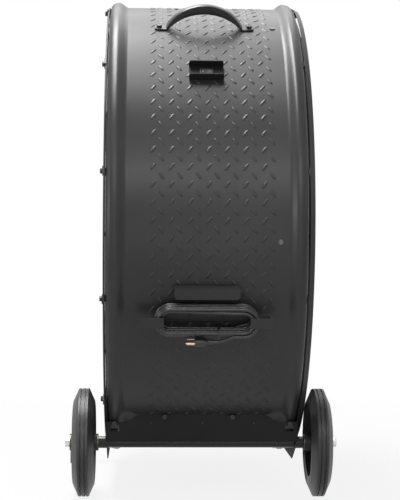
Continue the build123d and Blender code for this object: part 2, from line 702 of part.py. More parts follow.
def layer_lift(layer):
    """Height of a layer's centre line above the drum sheet."""
    return HANK_LIFT + layer * LAYER_PITCH


def hank_runs():
    """One (side, offset, layer, next layer) for each straight run; side -1 is the bottom."""
    runs = []
    step = TURN_PITCH / 2
    for i in range(HANK_HALF_TURNS + 1):
        layer, place = divmod(i, HANK_LAYER_TURNS)
        inwards = layer % 2 == 0
        depth = place if inwards else HANK_LAYER_TURNS - place
        climbs = place == 0 and 0 < i < HANK_HALF_TURNS
        end = min(layer, (HANK_HALF_TURNS - 1) // HANK_LAYER_TURNS)
        start = layer - 1 if climbs else end
        runs.append((-1 if i % 2 == 0 else 1, HANK_OUTER - step * depth, start, end))
    return runs


def hank_path():
    """Half turns and straight runs of the hank, climbing a layer along a run."""
    edges = []
    runs = hank_runs()
    last = len(runs) - 1
    for i, (side, off, start, end) in enumerate(runs):
        x0 = -side * HANK_HALF
        x1 = side * HANK_HALF
        if i == 0:
            x0 = HANK_START_X
        if i == last:
            x1 = HANK_END_X
        a = Vector(x0, side * off, layer_lift(start))
        b = Vector(x1, side * off, layer_lift(end))
        if start == end:
            edges.append(Line(a, b))
        else:
            mid = (a + b) / 2
            edges.append(TangentArc(a, mid, tangent=(side, 0, 0)))
            edges.append(TangentArc(mid, b, tangent=edges[-1] % 1))
        if i < last:
            nxt = Vector(x1, -side * runs[i + 1][1], layer_lift(end))
            centre = (b + nxt) / 2
            reach = (b - nxt).length / 2
            edges.append(ThreePointArc(b, centre + Vector(side * reach, 0, 0), nxt))
    return edges


def least_gap(edges, pitch=4.0):
    """Least distance between stretches of one tube, from points along its line."""
    points = []
    along = 0.0
    for edge in edges:
        count = max(2, int(edge.length / pitch))
        for k in range(count):
            points.append((along + edge.length * k / count, edge @ (k / count)))
        along += edge.length
    best = 1e9
    for i, (s, p) in enumerate(points):
        for u, q in points[i + 1:]:
            if u - s > 6 * CORD:
                best = min(best, (p - q).length)
    return best - CORD, along


def tube(edges, diameter, sides=CORD_SIDES):
    """Faceted tube swept along a run of tangent edges."""
    path = Wire(edges)
    start = Plane(origin=path @ 0, z_dir=path % 0)
    radius = diameter / 2
    return sweep(start * Rot(0, 0, SECTION_TURN) * RegularPolygon(radius, sides), path=path)


def eased(points):
    """Straight runs joined by arcs as large as the runs allow; returns the edges and radii."""
    spots = [Vector(*p) for p in points]
    radii = []
    for a, b, c in zip(spots, spots[1:], spots[2:]):
        turn = math.radians((b - a).get_angle(c - b))
        short = min((b - a).length, (c - b).length)
        radii.append(0.45 * short / math.tan(turn / 2))
    line = FilletPolyline(*spots, radius=radii)
    return line.edges(), radii


def section_area(diameter, sides=CORD_SIDES):
    """Area of the faceted section."""
    return sides / 2 * (diameter / 2) ** 2 * math.sin(2 * math.pi / sides)


def report_tube(name, solid, edges, radii, diameter):
    """Print a tube's tightest radius and compare its volume with its section times length."""
    length = sum(e.length for e in edges)
    share = solid.volume / (section_area(diameter) * length)
    shown = [round(r, 1) for r in radii]
    print(name, "length", round(length, 1), "volume share", round(share, 4), "radii", shown)


# The free stretches, in the cord wrap's plane: x, round the drum, lift.
LEAD_START = (105.0, -18.5, 4.7)
HANK_START = (HANK_START_X, -HANK_OUTER, layer_lift(0))
LEAD_ROUTE = [LEAD_START, (84.0, -18.5, 4.7), (48.0, -35.0, 4.7), (16.0, -35.0, layer_lift(0)),
              HANK_START]
TAIL_LAYER = (HANK_HALF_TURNS - 1) // HANK_LAYER_TURNS
TAIL_START = (HANK_END_X, -HANK_OUTER, layer_lift(TAIL_LAYER))
TAIL_ROUTE = [TAIL_START, (HANK_END_X - 15, -HANK_OUTER, layer_lift(TAIL_LAYER)),
              (PLUG_X + 15, PLUG_T, PLUG_LIFT), (PLUG_X, PLUG_T, PLUG_LIFT)]
TAIL_END = TAIL_ROUTE[-1]


def make_hank():
    """The wound cord, its tie and the free stretches at both ends."""
    plane = drum_plane(WRAP_ANGLE)
    edges = hank_path()
    hank = tube(edges, CORD)
    gap, length = least_gap(edges)
    print("cord_hank least gap to itself", round(gap, 2))
    report_tube("cord_hank", hank, edges, [], CORD)
    keep("cord_hank", put(plane, hank))
    for name, route in (("cord_lead", LEAD_ROUTE), ("cord_tail", TAIL_ROUTE)):
        line, radii = eased(route)
        solid = tube(line, CORD)
        report_tube(name, solid, line, radii, CORD)
        keep(name, put(plane, solid))


def make_tie():
    """Strap round the bottom run of the hank."""
    wide = CORD / 2 * math.cos(math.pi / CORD_SIDES) + SEAT_GAP
    low = -HANK_OUTER - wide
    high = low + TIE_TURNS * TURN_PITCH + 2 * wide
    base = TIE_BASE
    top = layer_lift(TAIL_LAYER) + wide
    t = TIE_THICK
    x0 = TIE_X - TIE_WIDE / 2
    x1 = TIE_X + TIE_WIDE / 2
    strap = block(x0, x1, low - t, high + t, base - t, top + t)
    strap -= block(x0 - 1, x1 + 1, low, high, base, top)
    keep("cord_tie", put(drum_plane(WRAP_ANGLE), strap))


def make_gland():
    """Gland on the sheet behind the far ear, with the tapered relief that the cord leaves."""
    x, t, lift = LEAD_START
    face = x + BOOT_LONG
    half = GLAND_WIDE / 2
    body = block(face, face + GLAND_LONG, t - half, t + half, 0, GLAND_HIGH)
    body = chamfer(body.edges().group_by(Axis.Z)[-1], GLAND_EDGE)
    plan = outline([(x, t - BOOT_TIP), (face, t - BOOT_ROOT), (face, t + BOOT_ROOT),
                    (x, t + BOOT_TIP)])
    boot = extrude(plan, BOOT_HIGH)
    keep("cord_gland", put(drum_plane(WRAP_ANGLE), body + boot))


def make_plug():
    """Three-pin plug hanging from the end of the cord, pointing at the outlet side."""
    place = drum_plane(WRAP_ANGLE).location * Location(TAIL_END) * Rot(0, -90, 0)
    face = RELIEF_LONG + PLUG_LONG
    body = block(-PLUG_WIDE / 2, PLUG_WIDE / 2, -PLUG_DEEP / 2, PLUG_DEEP / 2, RELIEF_LONG, face)
    body = chamfer(body.edges().filter_by(Axis.Z), PLUG_CORNER)
    body = chamfer(body.edges().group_by(Axis.Z)[0], PLUG_CORNER)
    relief = extrude(RegularPolygon(CORD / 2 + RELIEF_WALL, RIVET_SIDES), RELIEF_LONG)
    half = PRONG_THICK / 2
    blade = block(-PRONG_SHIFT - PRONG_WIDE / 2, -PRONG_SHIFT + PRONG_WIDE / 2, -half, half,
                  face, face + PRONG_LONG)
    prongs = [Pos(0, s * PRONG_SPAN / 2, 0) * blade for s in (-1, 1)]
    pin = extrude(RegularPolygon(PIN_RADIUS, RIVET_SIDES), PIN_LONG)
    prongs.append(Pos(PIN_SHIFT, 0, face) * pin)
    keep("power_plug", place * (relief + body))
    keep("plug_prongs", *[place * p for p in prongs])


# ---------------------------------------------------------------- cradle
def drum_angle_point(radius, degrees):
    """(y, z) of a point round the drum axis."""
    a = math.radians(degrees)
    return (-radius * math.cos(a), AXIS_HEIGHT + radius * math.sin(a))


def side_plate():
    """Cradle side plate: a saddle bolted to the drum flange, the axle tip and the foot lobe."""
    inner = BOLT_CIRCLE - PLATE_EDGE_GAP
    start = math.degrees(math.asin((PLATE_TOP - AXIS_HEIGHT) / inner))
    near = drum_angle_point(inner, start)
    far = (-near[0], near[1])
    low = (0, AXIS_HEIGHT - inner)
    lobe = (FOOT_Y, FOOT_BAR_Z)
    knee = (WEB_Y, WEB_BOTTOM)
    shoulder = (WEB_Y, WEB_END_TOP)
    floor = (PLATE_FLOOR_Y, PLATE_FLOOR)
    under = tangent(floor, lobe, LOBE, -1)
    outer = tangent(knee, lobe, LOBE, 1)
    side = (lobe[0] + LOBE * 0.9, lobe[1] - LOBE * math.sqrt(1 - 0.81))
    tip = (PLATE_TOP_Y, PLATE_TOP)
    edges = [ThreePointArc(near, low, far)]
    run = [far, tip, shoulder, knee, outer]
    edges += [Line(p, q) for p, q in zip(run, run[1:])]
    edges.append(ThreePointArc(outer, side, under))
    run = [under, floor, (-floor[0], floor[1]), (-knee[0], knee[1]),
           (-shoulder[0], shoulder[1]), (-tip[0], tip[1]), near]
    edges += [Line(p, q) for p, q in zip(run, run[1:])]
    face = make_face(edges)
    hole = RegularPolygon(around(TUBE_RADIUS + SEAT_GAP, FOOT_SIDES), FOOT_SIDES)
    face -= Pos(AXLE_Y, WHEEL_RADIUS) * hole
    face -= Pos(FOOT_Y, FOOT_BAR_Z) * hole
    return extrude(Plane.YZ * face, PLATE)


def make_side_plates():
    """The two side plates, flat against the drum's end flanges."""
    plate = side_plate()
    for name, x in (("side_plate_front", -DRUM_HALF - PLATE), ("side_plate_rear", DRUM_HALF)):
        keep(name, Pos(x, 0, 0) * plate)


def web_face():
    """Face of a cradle web: level top edge, eased down under the beads, with its cut-outs."""
    right = [(DRUM_HALF, WEB_BOTTOM), (DRUM_HALF, WEB_END_TOP), (WEB_LOW_X, WEB_END_TOP)]
    mid = ((WEB_LOW_X + WEB_FLAT_X) / 2, (WEB_END_TOP + WEB_TOP) / 2)
    edges = []
    for s in (1, -1):
        p = [(s * x, z) for x, z in right]
        edges += [Line((0, WEB_BOTTOM), p[0]), Line(p[0], p[1]), Line(p[1], p[2])]
        edges.append(TangentArc(p[2], (s * mid[0], mid[1]), tangent=(-s, 0)))
        edges.append(TangentArc((s * mid[0], mid[1]), (s * WEB_FLAT_X, WEB_TOP),
                                tangent=edges[-1] % 1))
        edges.append(Line((s * WEB_FLAT_X, WEB_TOP), (0, WEB_TOP)))
    face = make_face(edges)
    for s in (1, -1):
        face -= Pos(s * WINDOW_X, WINDOW_Z) * Rectangle(WINDOW_WIDE, WINDOW_HIGH)
    for k in (-1, 0, 1):
        face -= Pos(k * HOLE_X, HOLE_Z) * RegularPolygon(HOLE_RADIUS, HOLE_SIDES)
    for x, z in bracket_spots():
        face -= Pos(x, z) * Rectangle(NECK + 2 * NECK_GAP, NECK + 2 * NECK_GAP)
    return face


def bracket_spots():
    """(x, z) of the bolts along the top edge of a web."""
    sink = HEAD_FLATS / 2 - HEAD_SINK
    low = WEB_END_TOP - sink
    spots = [(-OUTER_BRACKET_X, low), (OUTER_BRACKET_X, low)]
    return spots + [(x, WEB_TOP - sink) for x in INNER_BRACKETS]


def make_webs():
    """Cross webs of the cradle with a folded lower edge, and their bolts."""
    face = Plane.XZ * web_face()
    web = Pos(0, -WEB_Y, 0) * extrude(face, WEB_THICK, dir=(0, 1, 0))
    fold = block(-DRUM_HALF, DRUM_HALF, -WEB_Y, -WEB_Y + WEB_RETURN,
                 WEB_BOTTOM - WEB_THICK, WEB_BOTTOM)
    near = web + fold
    bolt = Rot(90, 0, 0) * small_bolt(WEB_THICK, BRACKET_THICK)
    bolts = [Pos(x, -WEB_Y, z) * bolt for x, z in bracket_spots()]
    brackets = [drum_bracket(x, z) for x, z in bracket_spots()]
    over = Plane.XZ
    keep("cradle_web_wheel_side", near)
    keep("cradle_web_foot_side", mirror(near, over))
    keep("drum_brackets", *brackets, *[mirror(b, over) for b in brackets])
    keep("cradle_bolts", *bolts, *[mirror(b, over) for b in bolts])


def drum_bracket(x, z):
    """Small bent bracket from the back of a web to the underside of the drum."""
    radius = BEAD_RADIUS if abs(x) > BEAD_X - BEAD_FOOT else DRUM_RADIUS
    y0 = -WEB_Y + WEB_THICK
    touch = math.degrees(math.asin((y0 + BRACKET_REACH / 2) / radius))
    lean = math.radians(touch)
    foot = (radius * math.sin(lean), AXIS_HEIGHT - radius * math.cos(lean))
    along = (math.cos(lean), math.sin(lean))
    down = (math.sin(lean), -math.cos(lean))
    reach = BRACKET_REACH / 2

    def at(u, v):
        return (foot[0] + along[0] * u + down[0] * v, foot[1] + along[1] * u + down[1] * v)

    t = BRACKET_THICK
    u0 = (y0 + t - foot[0] - down[0] * t) / along[0]
    u1 = (y0 - foot[0]) / along[0]
    leg = z - HEAD_FLATS
    points = [(y0, leg), (y0 + t, leg), at(u0, t), at(reach, t), at(reach, 0), at(u1, 0)]
    solid = plate_yz(points, x - BRACKET_WIDE / 2, x + BRACKET_WIDE / 2)
    half = NECK / 2 + NECK_GAP
    return solid - block(x - half, x + half, y0 - 1, y0 + t + 1, z - half, z + half)


# ---------------------------------------------------------------- wheels, axle, foot
def at_axle(shape):
    """Lift a shape drawn round X to the axle."""
    return Pos(0, AXLE_Y, WHEEL_RADIUS) * shape


def make_wheels():
    """Solid tyres on disc hubs; the hub bores run on the axle rod."""
    tyre = [(-TREAD_HALF, WHEEL_RADIUS), (TREAD_HALF, WHEEL_RADIUS), (TYRE_HALF, SHOULDER_R),
            (BEAD_HALF, TYRE_BORE), (-BEAD_HALF, TYRE_BORE), (-TYRE_HALF, SHOULDER_R)]
    hub = facet_bar(-DISC_HALF, DISC_HALF, TYRE_BORE - RUN_GAP, TYRE_SIDES)
    hub += facet_bar(-BOSS_REACH, BOSS_REACH, BOSS_RADIUS, BOSS_SIDES)
    hub -= rod(-BOSS_REACH, BOSS_REACH, ROD_RADIUS + RUN_GAP)
    for name, s in (("front", -1), ("rear", 1)):
        place = Pos(s * WHEEL_X, 0, 0)
        keep("tyre_" + name, at_axle(place * facet_turned(tyre, TYRE_SIDES)))
        keep("wheel_hub_" + name, at_axle(place * hub))


def make_axle():
    """Axle tube through the side plates, the rod in it, and its washers and nuts."""
    collar = DRUM_HALF + PLATE + SEAT_GAP
    pipe = rod(-TUBE_END, TUBE_END, TUBE_RADIUS)
    for s in (-1, 1):
        pipe += facet_bar(*sorted((s * collar, s * TUBE_END)), SLEEVE_RADIUS, BOSS_SIDES)
    pipe -= rod(-TUBE_END, TUBE_END, TUBE_BORE)
    bore = ROD_RADIUS + RUN_GAP
    washers = []
    nuts = []
    end = BOSS_OUT + SEAT_GAP + WASHER_THICK
    hole = around(bore, WASHER_SIDES)
    for s in (-1, 1):
        inside = sorted((s * (TUBE_END + SEAT_GAP / 2), s * (BOSS_IN - SEAT_GAP)))
        outside = sorted((s * (BOSS_OUT + SEAT_GAP), s * end))
        for a, b in (inside, outside):
            section = [(a, WASHER_RADIUS), (b, WASHER_RADIUS), (b, hole), (a, hole)]
            washers.append(facet_turned(section, WASHER_SIDES))
        nut = on_x(hex_bar(NUT_FLATS, NUT_HIGH), s * (end + RUN_GAP), s)
        nuts.append(nut - facet_bar(-2 * end, 2 * end, around(bore, FOOT_SIDES), FOOT_SIDES))
    half = end + NUT_HIGH - 1
    keep("axle_tube", at_axle(pipe))
    keep("axle_rod", at_axle(rod(-half, half, ROD_RADIUS)))
    keep("axle_washers", *[at_axle(w) for w in washers])
    keep("axle_nuts", *[at_axle(n) for n in nuts])


def make_foot():
    """Foot bar through the side plates, with a rubber foot on each end."""
    end = FOOT_X + FOOT_WIDE / 2 - FOOT_CAP
    here = Pos(0, FOOT_Y, FOOT_BAR_Z)
    socket = around(TUBE_RADIUS + SEAT_GAP, FOOT_SIDES)
    keep("foot_bar", here * rod(-end, end, TUBE_RADIUS))
    for name, s in (("foot_front", -1), ("foot_rear", 1)):
        low = FOOT_LONG / 2
        high = low - FOOT_DRAFT
        side = [(-low, 0), (low, 0), (high, FOOT_TOP - FOOT_DRAFT), (high / 2, FOOT_TOP),
                (-high / 2, FOOT_TOP), (-high, FOOT_TOP - FOOT_DRAFT)]
        boot = plate_yz(side, s * FOOT_X - FOOT_WIDE / 2, s * FOOT_X + FOOT_WIDE / 2)
        boot = Pos(0, FOOT_Y, 0) * boot
        inner = sorted((s * (FOOT_X - FOOT_WIDE), s * (end + SEAT_GAP)))
        keep(name, boot - here * facet_bar(*inner, socket, FOOT_SIDES))


# ---------------------------------------------------------------- drive
def cross_beam(z0, z1, open_up):
    """Channel across the drum, cut to the curve of the sheet at both ends."""
    beam = block(BEAM_X0, BEAM_X1, -DRUM_RADIUS, DRUM_RADIUS, z0, z1)
    shift = BEAM_THICK if open_up else -BEAM_THICK
    beam -= block(BEAM_X0 + BEAM_THICK, BEAM_X1 - BEAM_THICK, -DRUM_RADIUS, DRUM_RADIUS,
                  z0 + shift, z1 + shift)
    inside = rod(-DRUM_HALF, DRUM_HALF, DRUM_RADIUS - SHEET - SEAT_GAP)
    return AXIS_AT * (beam & inside)


def pillow_block():
    """Cast bearing housing, drawn with its bore at the origin and its base BEAM_DROP below."""
    base = -BEAM_DROP
    wide = BLOCK_LONG / 2
    half = BLOCK_WIDE / 2
    step = BLOCK_HEAD + BLOCK_SHOULDER
    points = [(-wide, base), (wide, base), (wide, base + BLOCK_BASE), (step, base + BLOCK_BASE),
              (BLOCK_HEAD, 0), (-BLOCK_HEAD, 0), (-step, base + BLOCK_BASE),
              (-wide, base + BLOCK_BASE)]
    body = plate_yz(points, -half, half) + facet_bar(-half, half, BLOCK_HEAD, BLOCK_SIDES)
    return body - rod(-BLOCK_WIDE, BLOCK_WIDE, SHAFT_RADIUS + RUN_GAP)


def make_bearings():
    """Bearing beam and two pillow blocks with their bolts."""
    keep("bearing_beam", cross_beam(-BEAM_DROP - BEAM_DEEP, -BEAM_DROP, False))
    top = AXIS_HEIGHT - BEAM_DROP + BLOCK_BASE
    heads = []
    for name, x in zip(("pillow_block_front", "pillow_block_rear"), BLOCK_X):
        keep(name, AXIS_AT * Pos(x, 0, 0) * pillow_block())
        for s in (-1, 1):
            heads.append(Pos(x, s * BLOCK_BOLT_Y, top) * hex_bar(NUT_FLATS, NUT_HIGH))
    keep("bearing_bolts", *heads)


def sheave(pitch_top, bore, x_half, sides):
    """V-belt pulley drawn round X: the groove is the belt's section plus a gap."""
    top = BELT_TOP / 2 + GROOVE_GAP
    floor = pitch_top - BELT_HIGH - GROOVE_GAP
    rim = pitch_top + 1
    hole = around(bore, sides)
    half = [(top - BELT_SLOPE, floor), (top, rim), (x_half, rim), (x_half, hole)]
    return facet_turned([(-x, r) for x, r in reversed(half)] + half, sides)


def make_pulleys():
    """Fan pulley, motor pulley and the V-belt round both."""
    half = BELT_TOP / 2 + GROOVE_GAP + FLANGE_EDGE
    at_x = Pos(PULLEY_X, 0, 0)
    up = Pos(0, 0, MOTOR_RISE)
    fan = sheave(FAN_PULLEY_R, SHAFT_RADIUS + RUN_GAP, half, FAN_PULLEY_SIDES)
    motor = sheave(MOTOR_PULLEY_R, MOTOR_SHAFT_R + RUN_GAP, half, MOTOR_PULLEY_SIDES)
    shaft = rod(MOTOR_X0 - MOTOR_BELL, SHAFT_REAR, MOTOR_SHAFT_R)
    keep("fan_pulley", AXIS_AT * at_x * fan)
    keep("motor_pulley", AXIS_AT * up * at_x * motor)
    keep("motor_shaft", AXIS_AT * up * shaft)
    keep("drive_belt", AXIS_AT * at_x * belt())


def loop_points(grow):
    """(y, z) corners of the belt's loop at a distance outside its top."""
    big = FAN_PULLEY_R + grow
    small = MOTOR_PULLEY_R + grow
    lean = math.asin((big - small) / MOTOR_RISE)
    points = []
    for radius, z, start, sweep in ((small, MOTOR_RISE, lean, math.pi - 2 * lean),
                                    (big, 0, math.pi - lean, math.pi + 2 * lean)):
        steps = math.ceil(sweep / math.radians(BELT_TURN))
        for k in range(steps + 1):
            a = start + sweep * k / steps
            points.append((radius * math.cos(a), z + radius * math.sin(a)))
    return points


def belt():
    """V-belt: a loop of flat-faced V section round both pulleys."""
    half = BELT_TOP / 2
    low = half - BELT_SLOPE
    top = BELT_LIFT
    foot = top - BELT_HIGH
    corners = ((-half, top), (half, top), (low, foot), (-low, foot))
    return facet_loft([[(x, y, z) for y, z in loop_points(grow)] for x, grow in corners])





def make_motor():
    """Motor with its end bells and bosses, the cradle that holds it, and its wiring box."""
    x0, x1 = MOTOR_X0, MOTOR_X1
    bell = MOTOR_BELL
    reach = CRADLE_THICK + BOSS_PROUD
    bore = around(MOTOR_SHAFT_R + RUN_GAP, MOTOR_SIDES)
    half = [(x1 + bell + reach, bore), (x1 + bell + reach, MOTOR_BOSS), (x1 + bell, MOTOR_BOSS),
            (x1 + bell, BELL_RADIUS), (x1, MOTOR_RADIUS)]
    section = half + [(x0 + x1 - x, r) for x, r in reversed(half)]
    up = AXIS_AT * Pos(0, 0, MOTOR_RISE)
    keep("motor_body", up * facet_turned(section, MOTOR_SIDES))
    top = MOTOR_BEAM_RISE - MOTOR_RISE
    a = x0 - bell - CRADLE_THICK - SEAT_GAP
    b = x1 + bell + SEAT_GAP
    frame = block(a, b + CRADLE_THICK, -CRADLE_HALF, CRADLE_HALF, top - CRADLE_THICK, top)
    for x in (a, b):
        frame += block(x, x + CRADLE_THICK, -CRADLE_HALF, CRADLE_HALF, -CHEEK_DROP, top)
    hole = around(MOTOR_BOSS + SEAT_GAP, BOSS_SIDES)
    frame -= facet_bar(a - 1, b + CRADLE_THICK + 1, hole, BOSS_SIDES)
    keep("motor_cradle", up * frame)
    box = block(*MOTOR_BOX_X, -MOTOR_RADIUS - MOTOR_BOX_DEEP, -MOTOR_RADIUS + MOTOR_BOX_SINK,
                -MOTOR_BOX_HIGH / 2, MOTOR_BOX_HIGH / 2)
    box -= facet_bar(0, 2 * x1, around(MOTOR_RADIUS + SEAT_GAP, MOTOR_SIDES), MOTOR_SIDES)
    keep("motor_wiring_box", up * box)
    keep("motor_beam", cross_beam(MOTOR_BEAM_RISE, MOTOR_BEAM_RISE + BEAM_DEEP, True))
    spots = [(x, y) for x in (BEAM_X0 + MOTOR_BOLT_IN, BEAM_X1 - MOTOR_BOLT_IN)
             for y in (-MOTOR_BOLT_Y, MOTOR_BOLT_Y)]
    deck = MOTOR_BEAM_RISE + BEAM_THICK
    head = hex_bar(HEAD_FLATS, HEAD_HIGH)
    keep("motor_bolts", *[AXIS_AT * Pos(x, y, deck) * head for x, y in spots])


def make_cable():
    """Lead from the back of the switch to the motor's wiring box."""
    a = math.radians(SWITCH_ANGLE)
    deep = DRUM_RADIUS - BARREL_DEEP + GUARD_SHEET - SEAT_GAP
    x, y, z = CABLE_START_X, -deep * math.cos(a), AXIS_HEIGHT + deep * math.sin(a)
    motor_z = AXIS_HEIGHT + MOTOR_RISE
    end_y = -MOTOR_RADIUS - MOTOR_BOX_DEEP - SEAT_GAP
    middle = sum(MOTOR_BOX_X) / 2
    route = [(x, y, z), (x, y + CABLE_DROP * math.cos(a), z - CABLE_DROP * math.sin(a))]
    route += [(bx, y + by, z + bz) for bx, by, bz in CABLE_BENDS]
    route += [(middle, end_y - CABLE_RUN_IN, motor_z), (middle, end_y, motor_z)]
    line, radii = eased(route)
    cable = tube(line, CABLE)
    report_tube("motor_cable", cable, line, radii, CABLE)
    keep("motor_cable", cable)


# ---------------------------------------------------------------- fan wheel
def curved_strip(width, thick, radius, z0, z1):
    """Curved sheet standing along Z: its section is an arc in the XY plane."""
    swing = math.degrees(width / 2 / radius)
    ring = Circle(radius + thick) - Circle(radius)
    reach = 2 * radius
    a = math.radians(swing)
    wedge = outline([(0, 0), (-reach * math.sin(a), reach * math.cos(a)),
                     (reach * math.sin(a), reach * math.cos(a))])
    return Pos(0, -radius, z0) * extrude(ring & wedge, z1 - z0)


def blade():
    """Rolled sheet blade, standing along Z, trimmed to its outline and tip circle."""
    sheet = curved_strip(BLADE_CHORD * BLADE_SPARE, BLADE_THICK, BLADE_CURVE, BLADE_ROOT,
                         BLADE_TIP)
    half = BLADE_CHORD / 2
    root = BLADE_ROOT_CHORD / 2
    belly = BLADE_ROOT + BLADE_BELLY * (BLADE_TIP - BLADE_ROOT)
    points = [(-root, BLADE_ROOT), (root, BLADE_ROOT), (half * LEAD_BELLY, belly),
              (half, BLADE_TIP), (-half * TRAIL_TIP, BLADE_TIP), (-half * TRAIL_BELLY, belly)]
    trim = extrude(Plane.XZ * outline(points), BLADE_CURVE, both=True)
    return sheet & trim


def on_fan(shape, angle):
    """Pitch a blade or arm about its length and set it round the fan axis."""
    return AXIS_AT * Rot(angle, 0, 0) * Pos(FAN_X, 0, 0) * Rot(0, 0, 90 - BLADE_PITCH) * shape


def make_fan():
    """Shaft, cast hub with four arms, four blades and their rivets."""
    keep("fan_shaft", AXIS_AT * rod(SHAFT_FRONT, SHAFT_REAR, SHAFT_RADIUS))
    boss = facet_bar(FAN_X - HUB_LONG / 2, FAN_X + HUB_LONG / 2, HUB_RADIUS, HUB_SIDES)
    curve = BLADE_CURVE + BLADE_THICK + RUN_GAP
    arm = curved_strip(ARM_WIDE, ARM_THICK, curve, ARM_START, ARM_END)
    arm = Pos(0, BLADE_THICK + RUN_GAP, 0) * arm
    step = 360 / BLADE_COUNT
    hub = AXIS_AT * boss
    hub += [on_fan(arm, step * i) for i in range(BLADE_COUNT)]
    hub -= AXIS_AT * rod(-DRUM_HALF, DRUM_HALF, SHAFT_RADIUS + RUN_GAP)
    keep("fan_hub", hub)
    tip_circle = AXIS_AT * rod(-DRUM_HALF, DRUM_HALF, BLADE_TIP)
    rivet = Rot(90, 0, 0) * extrude(RegularPolygon(BLADE_RIVET, RIVET_HEAD_SIDES),
                                    BLADE_RIVET_HIGH)
    heads = []
    for i in range(BLADE_COUNT):
        keep("fan_blade_" + str(i + 1), on_fan(blade(), step * i) & tip_circle)
        for z in RIVET_STEPS:
            heads.append(on_fan(Pos(0, -RUN_GAP, z) * rivet, step * i))
    keep("blade_rivets", *heads)


def make_drum_screws():
    """Screws through the drum that hold the cross beams, seen outside as plain heads."""
    rise = math.degrees(math.asin((MOTOR_BEAM_RISE + SCREW_RISE) / DRUM_RADIUS))
    drop = -math.degrees(math.asin((BEAM_DROP + BEAM_THICK) / DRUM_RADIUS))
    head = hex_bar(HEAD_FLATS, HEAD_HIGH / 2)
    spots = [drum_plane(a, BEAM_X1 - SCREW_IN) for a in (rise, 180 - rise, drop, 180 - drop)]
    heads = [put(spot, head) for spot in spots]
    x, angle = LONE_SCREW
    heads.append(put(drum_plane(angle, x), hex_bar(LONE_FLATS, HEAD_HIGH / 2)))
    keep("drum_screws", *heads)


def main():
    """Build every piece and write one STEP file for each node."""
    make_drum()
    make_front_guard()
    make_clips()
    make_rear_guard()
    make_guard_bolts()
    make_handle()
    make_switch_guard()
    make_switch()
    make_cord_wrap()
    make_gland()
    make_hank()
    make_tie()
    make_plug()
    make_side_plates()
    make_webs()
    make_wheels()
    make_axle()
    make_foot()
    make_bearings()
    make_pulleys()
    make_motor()
    make_cable()
    make_fan()
    make_drum_screws()
    os.makedirs("parts", exist_ok=True)
    for name, shape in PARTS.items():
        export_step(shape, "parts/" + name + ".step")


main()
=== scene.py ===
import json
import math

import bmesh
import bpy
from mathutils import Matrix, Vector


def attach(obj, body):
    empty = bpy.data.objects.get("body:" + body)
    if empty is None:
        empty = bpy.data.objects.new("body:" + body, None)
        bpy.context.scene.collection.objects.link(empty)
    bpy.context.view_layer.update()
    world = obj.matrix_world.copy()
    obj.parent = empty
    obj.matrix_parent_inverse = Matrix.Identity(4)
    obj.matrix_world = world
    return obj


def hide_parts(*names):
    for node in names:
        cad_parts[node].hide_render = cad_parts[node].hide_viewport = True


# Belt-drive drum fan on a two-wheel cradle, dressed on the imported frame.
# Metres: +X runs along the air axis towards the intake, -Y is the wheel side, +Z is up.
# Angles round the drum are in degrees, from the wheel side upwards.

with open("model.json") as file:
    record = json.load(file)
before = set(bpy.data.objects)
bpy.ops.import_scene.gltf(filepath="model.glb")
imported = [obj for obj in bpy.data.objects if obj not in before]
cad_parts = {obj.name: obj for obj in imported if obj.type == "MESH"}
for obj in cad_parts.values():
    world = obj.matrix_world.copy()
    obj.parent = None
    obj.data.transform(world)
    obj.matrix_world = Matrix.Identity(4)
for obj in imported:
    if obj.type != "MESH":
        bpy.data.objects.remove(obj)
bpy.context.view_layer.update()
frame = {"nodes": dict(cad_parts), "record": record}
MM = 0.001

# ---- drum and cradle, as in the part ----
AXIS_HEIGHT = 642.0 * MM
DRUM_RADIUS = 549.5 * MM
DRUM_HALF = 221.0 * MM     # half length along the air axis
SHEET = 2.0 * MM
BOLT_CIRCLE = 541.0 * MM
FIRST_BOLT = 72.0
BOLT_COUNT = 12
PLATE = 2.5 * MM           # thickness of the cradle's side plates
PLATE_DROP = 395.0 * MM    # drum axis to the top of the side plates
DRUM_TURNS = 192           # facets round the drum and the guards


# ---------------------------------------------------------------- camera
# Fitted to the photograph.
CAMERA_YAW = math.radians(2.25)
CAMERA_ROLL = math.radians(0.335)
CAMERA_DISTANCE = 3.709
CAMERA_HEIGHT = 0.583
CAMERA_ASIDE = 0.005
CAMERA_REACH = 50.0
FOCAL_PIXELS = 1452.0
FRAME_PIXELS = 500.0
SENSOR = 36.0


def make_camera():
    """Level camera at the photograph's angle, rolled a little."""
    c = math.cos(CAMERA_YAW)
    s = math.sin(CAMERA_YAW)
    ahead = Vector((s, c, 0))
    right = Vector((c, -s, 0))
    up = Vector((0, 0, 1))
    roll_right = right * math.cos(CAMERA_ROLL) + up * math.sin(CAMERA_ROLL)
    roll_up = up * math.cos(CAMERA_ROLL) - right * math.sin(CAMERA_ROLL)
    spot = right * CAMERA_ASIDE - ahead * CAMERA_DISTANCE + up * CAMERA_HEIGHT
    data = bpy.data.cameras.new("camera")
    data.sensor_width = SENSOR
    data.lens = FOCAL_PIXELS * SENSOR / FRAME_PIXELS
    data.clip_end = CAMERA_REACH
    camera = bpy.data.objects.new("camera", data)
    bpy.context.scene.collection.objects.link(camera)
    turn = Matrix((roll_right, roll_up, -ahead)).transposed().to_4x4()
    camera.matrix_world = Matrix.Translation(spot) @ turn
    bpy.context.scene.camera = camera


# ---------------------------------------------------------------- helpers
def drum_frame(angle, x=0.0):
    """Matrix of the tangent plane on the drum: local x axial, y round it, z outward."""
    a = math.radians(angle)
    out = Vector((0, -math.cos(a), math.sin(a)))
    along = Vector((0, math.sin(a), math.cos(a)))
    turn = Matrix((Vector((1, 0, 0)), along, out)).transposed().to_4x4()
    spot = Vector((x, 0, AXIS_HEIGHT)) + out * DRUM_RADIUS
    return Matrix.Translation(spot) @ turn


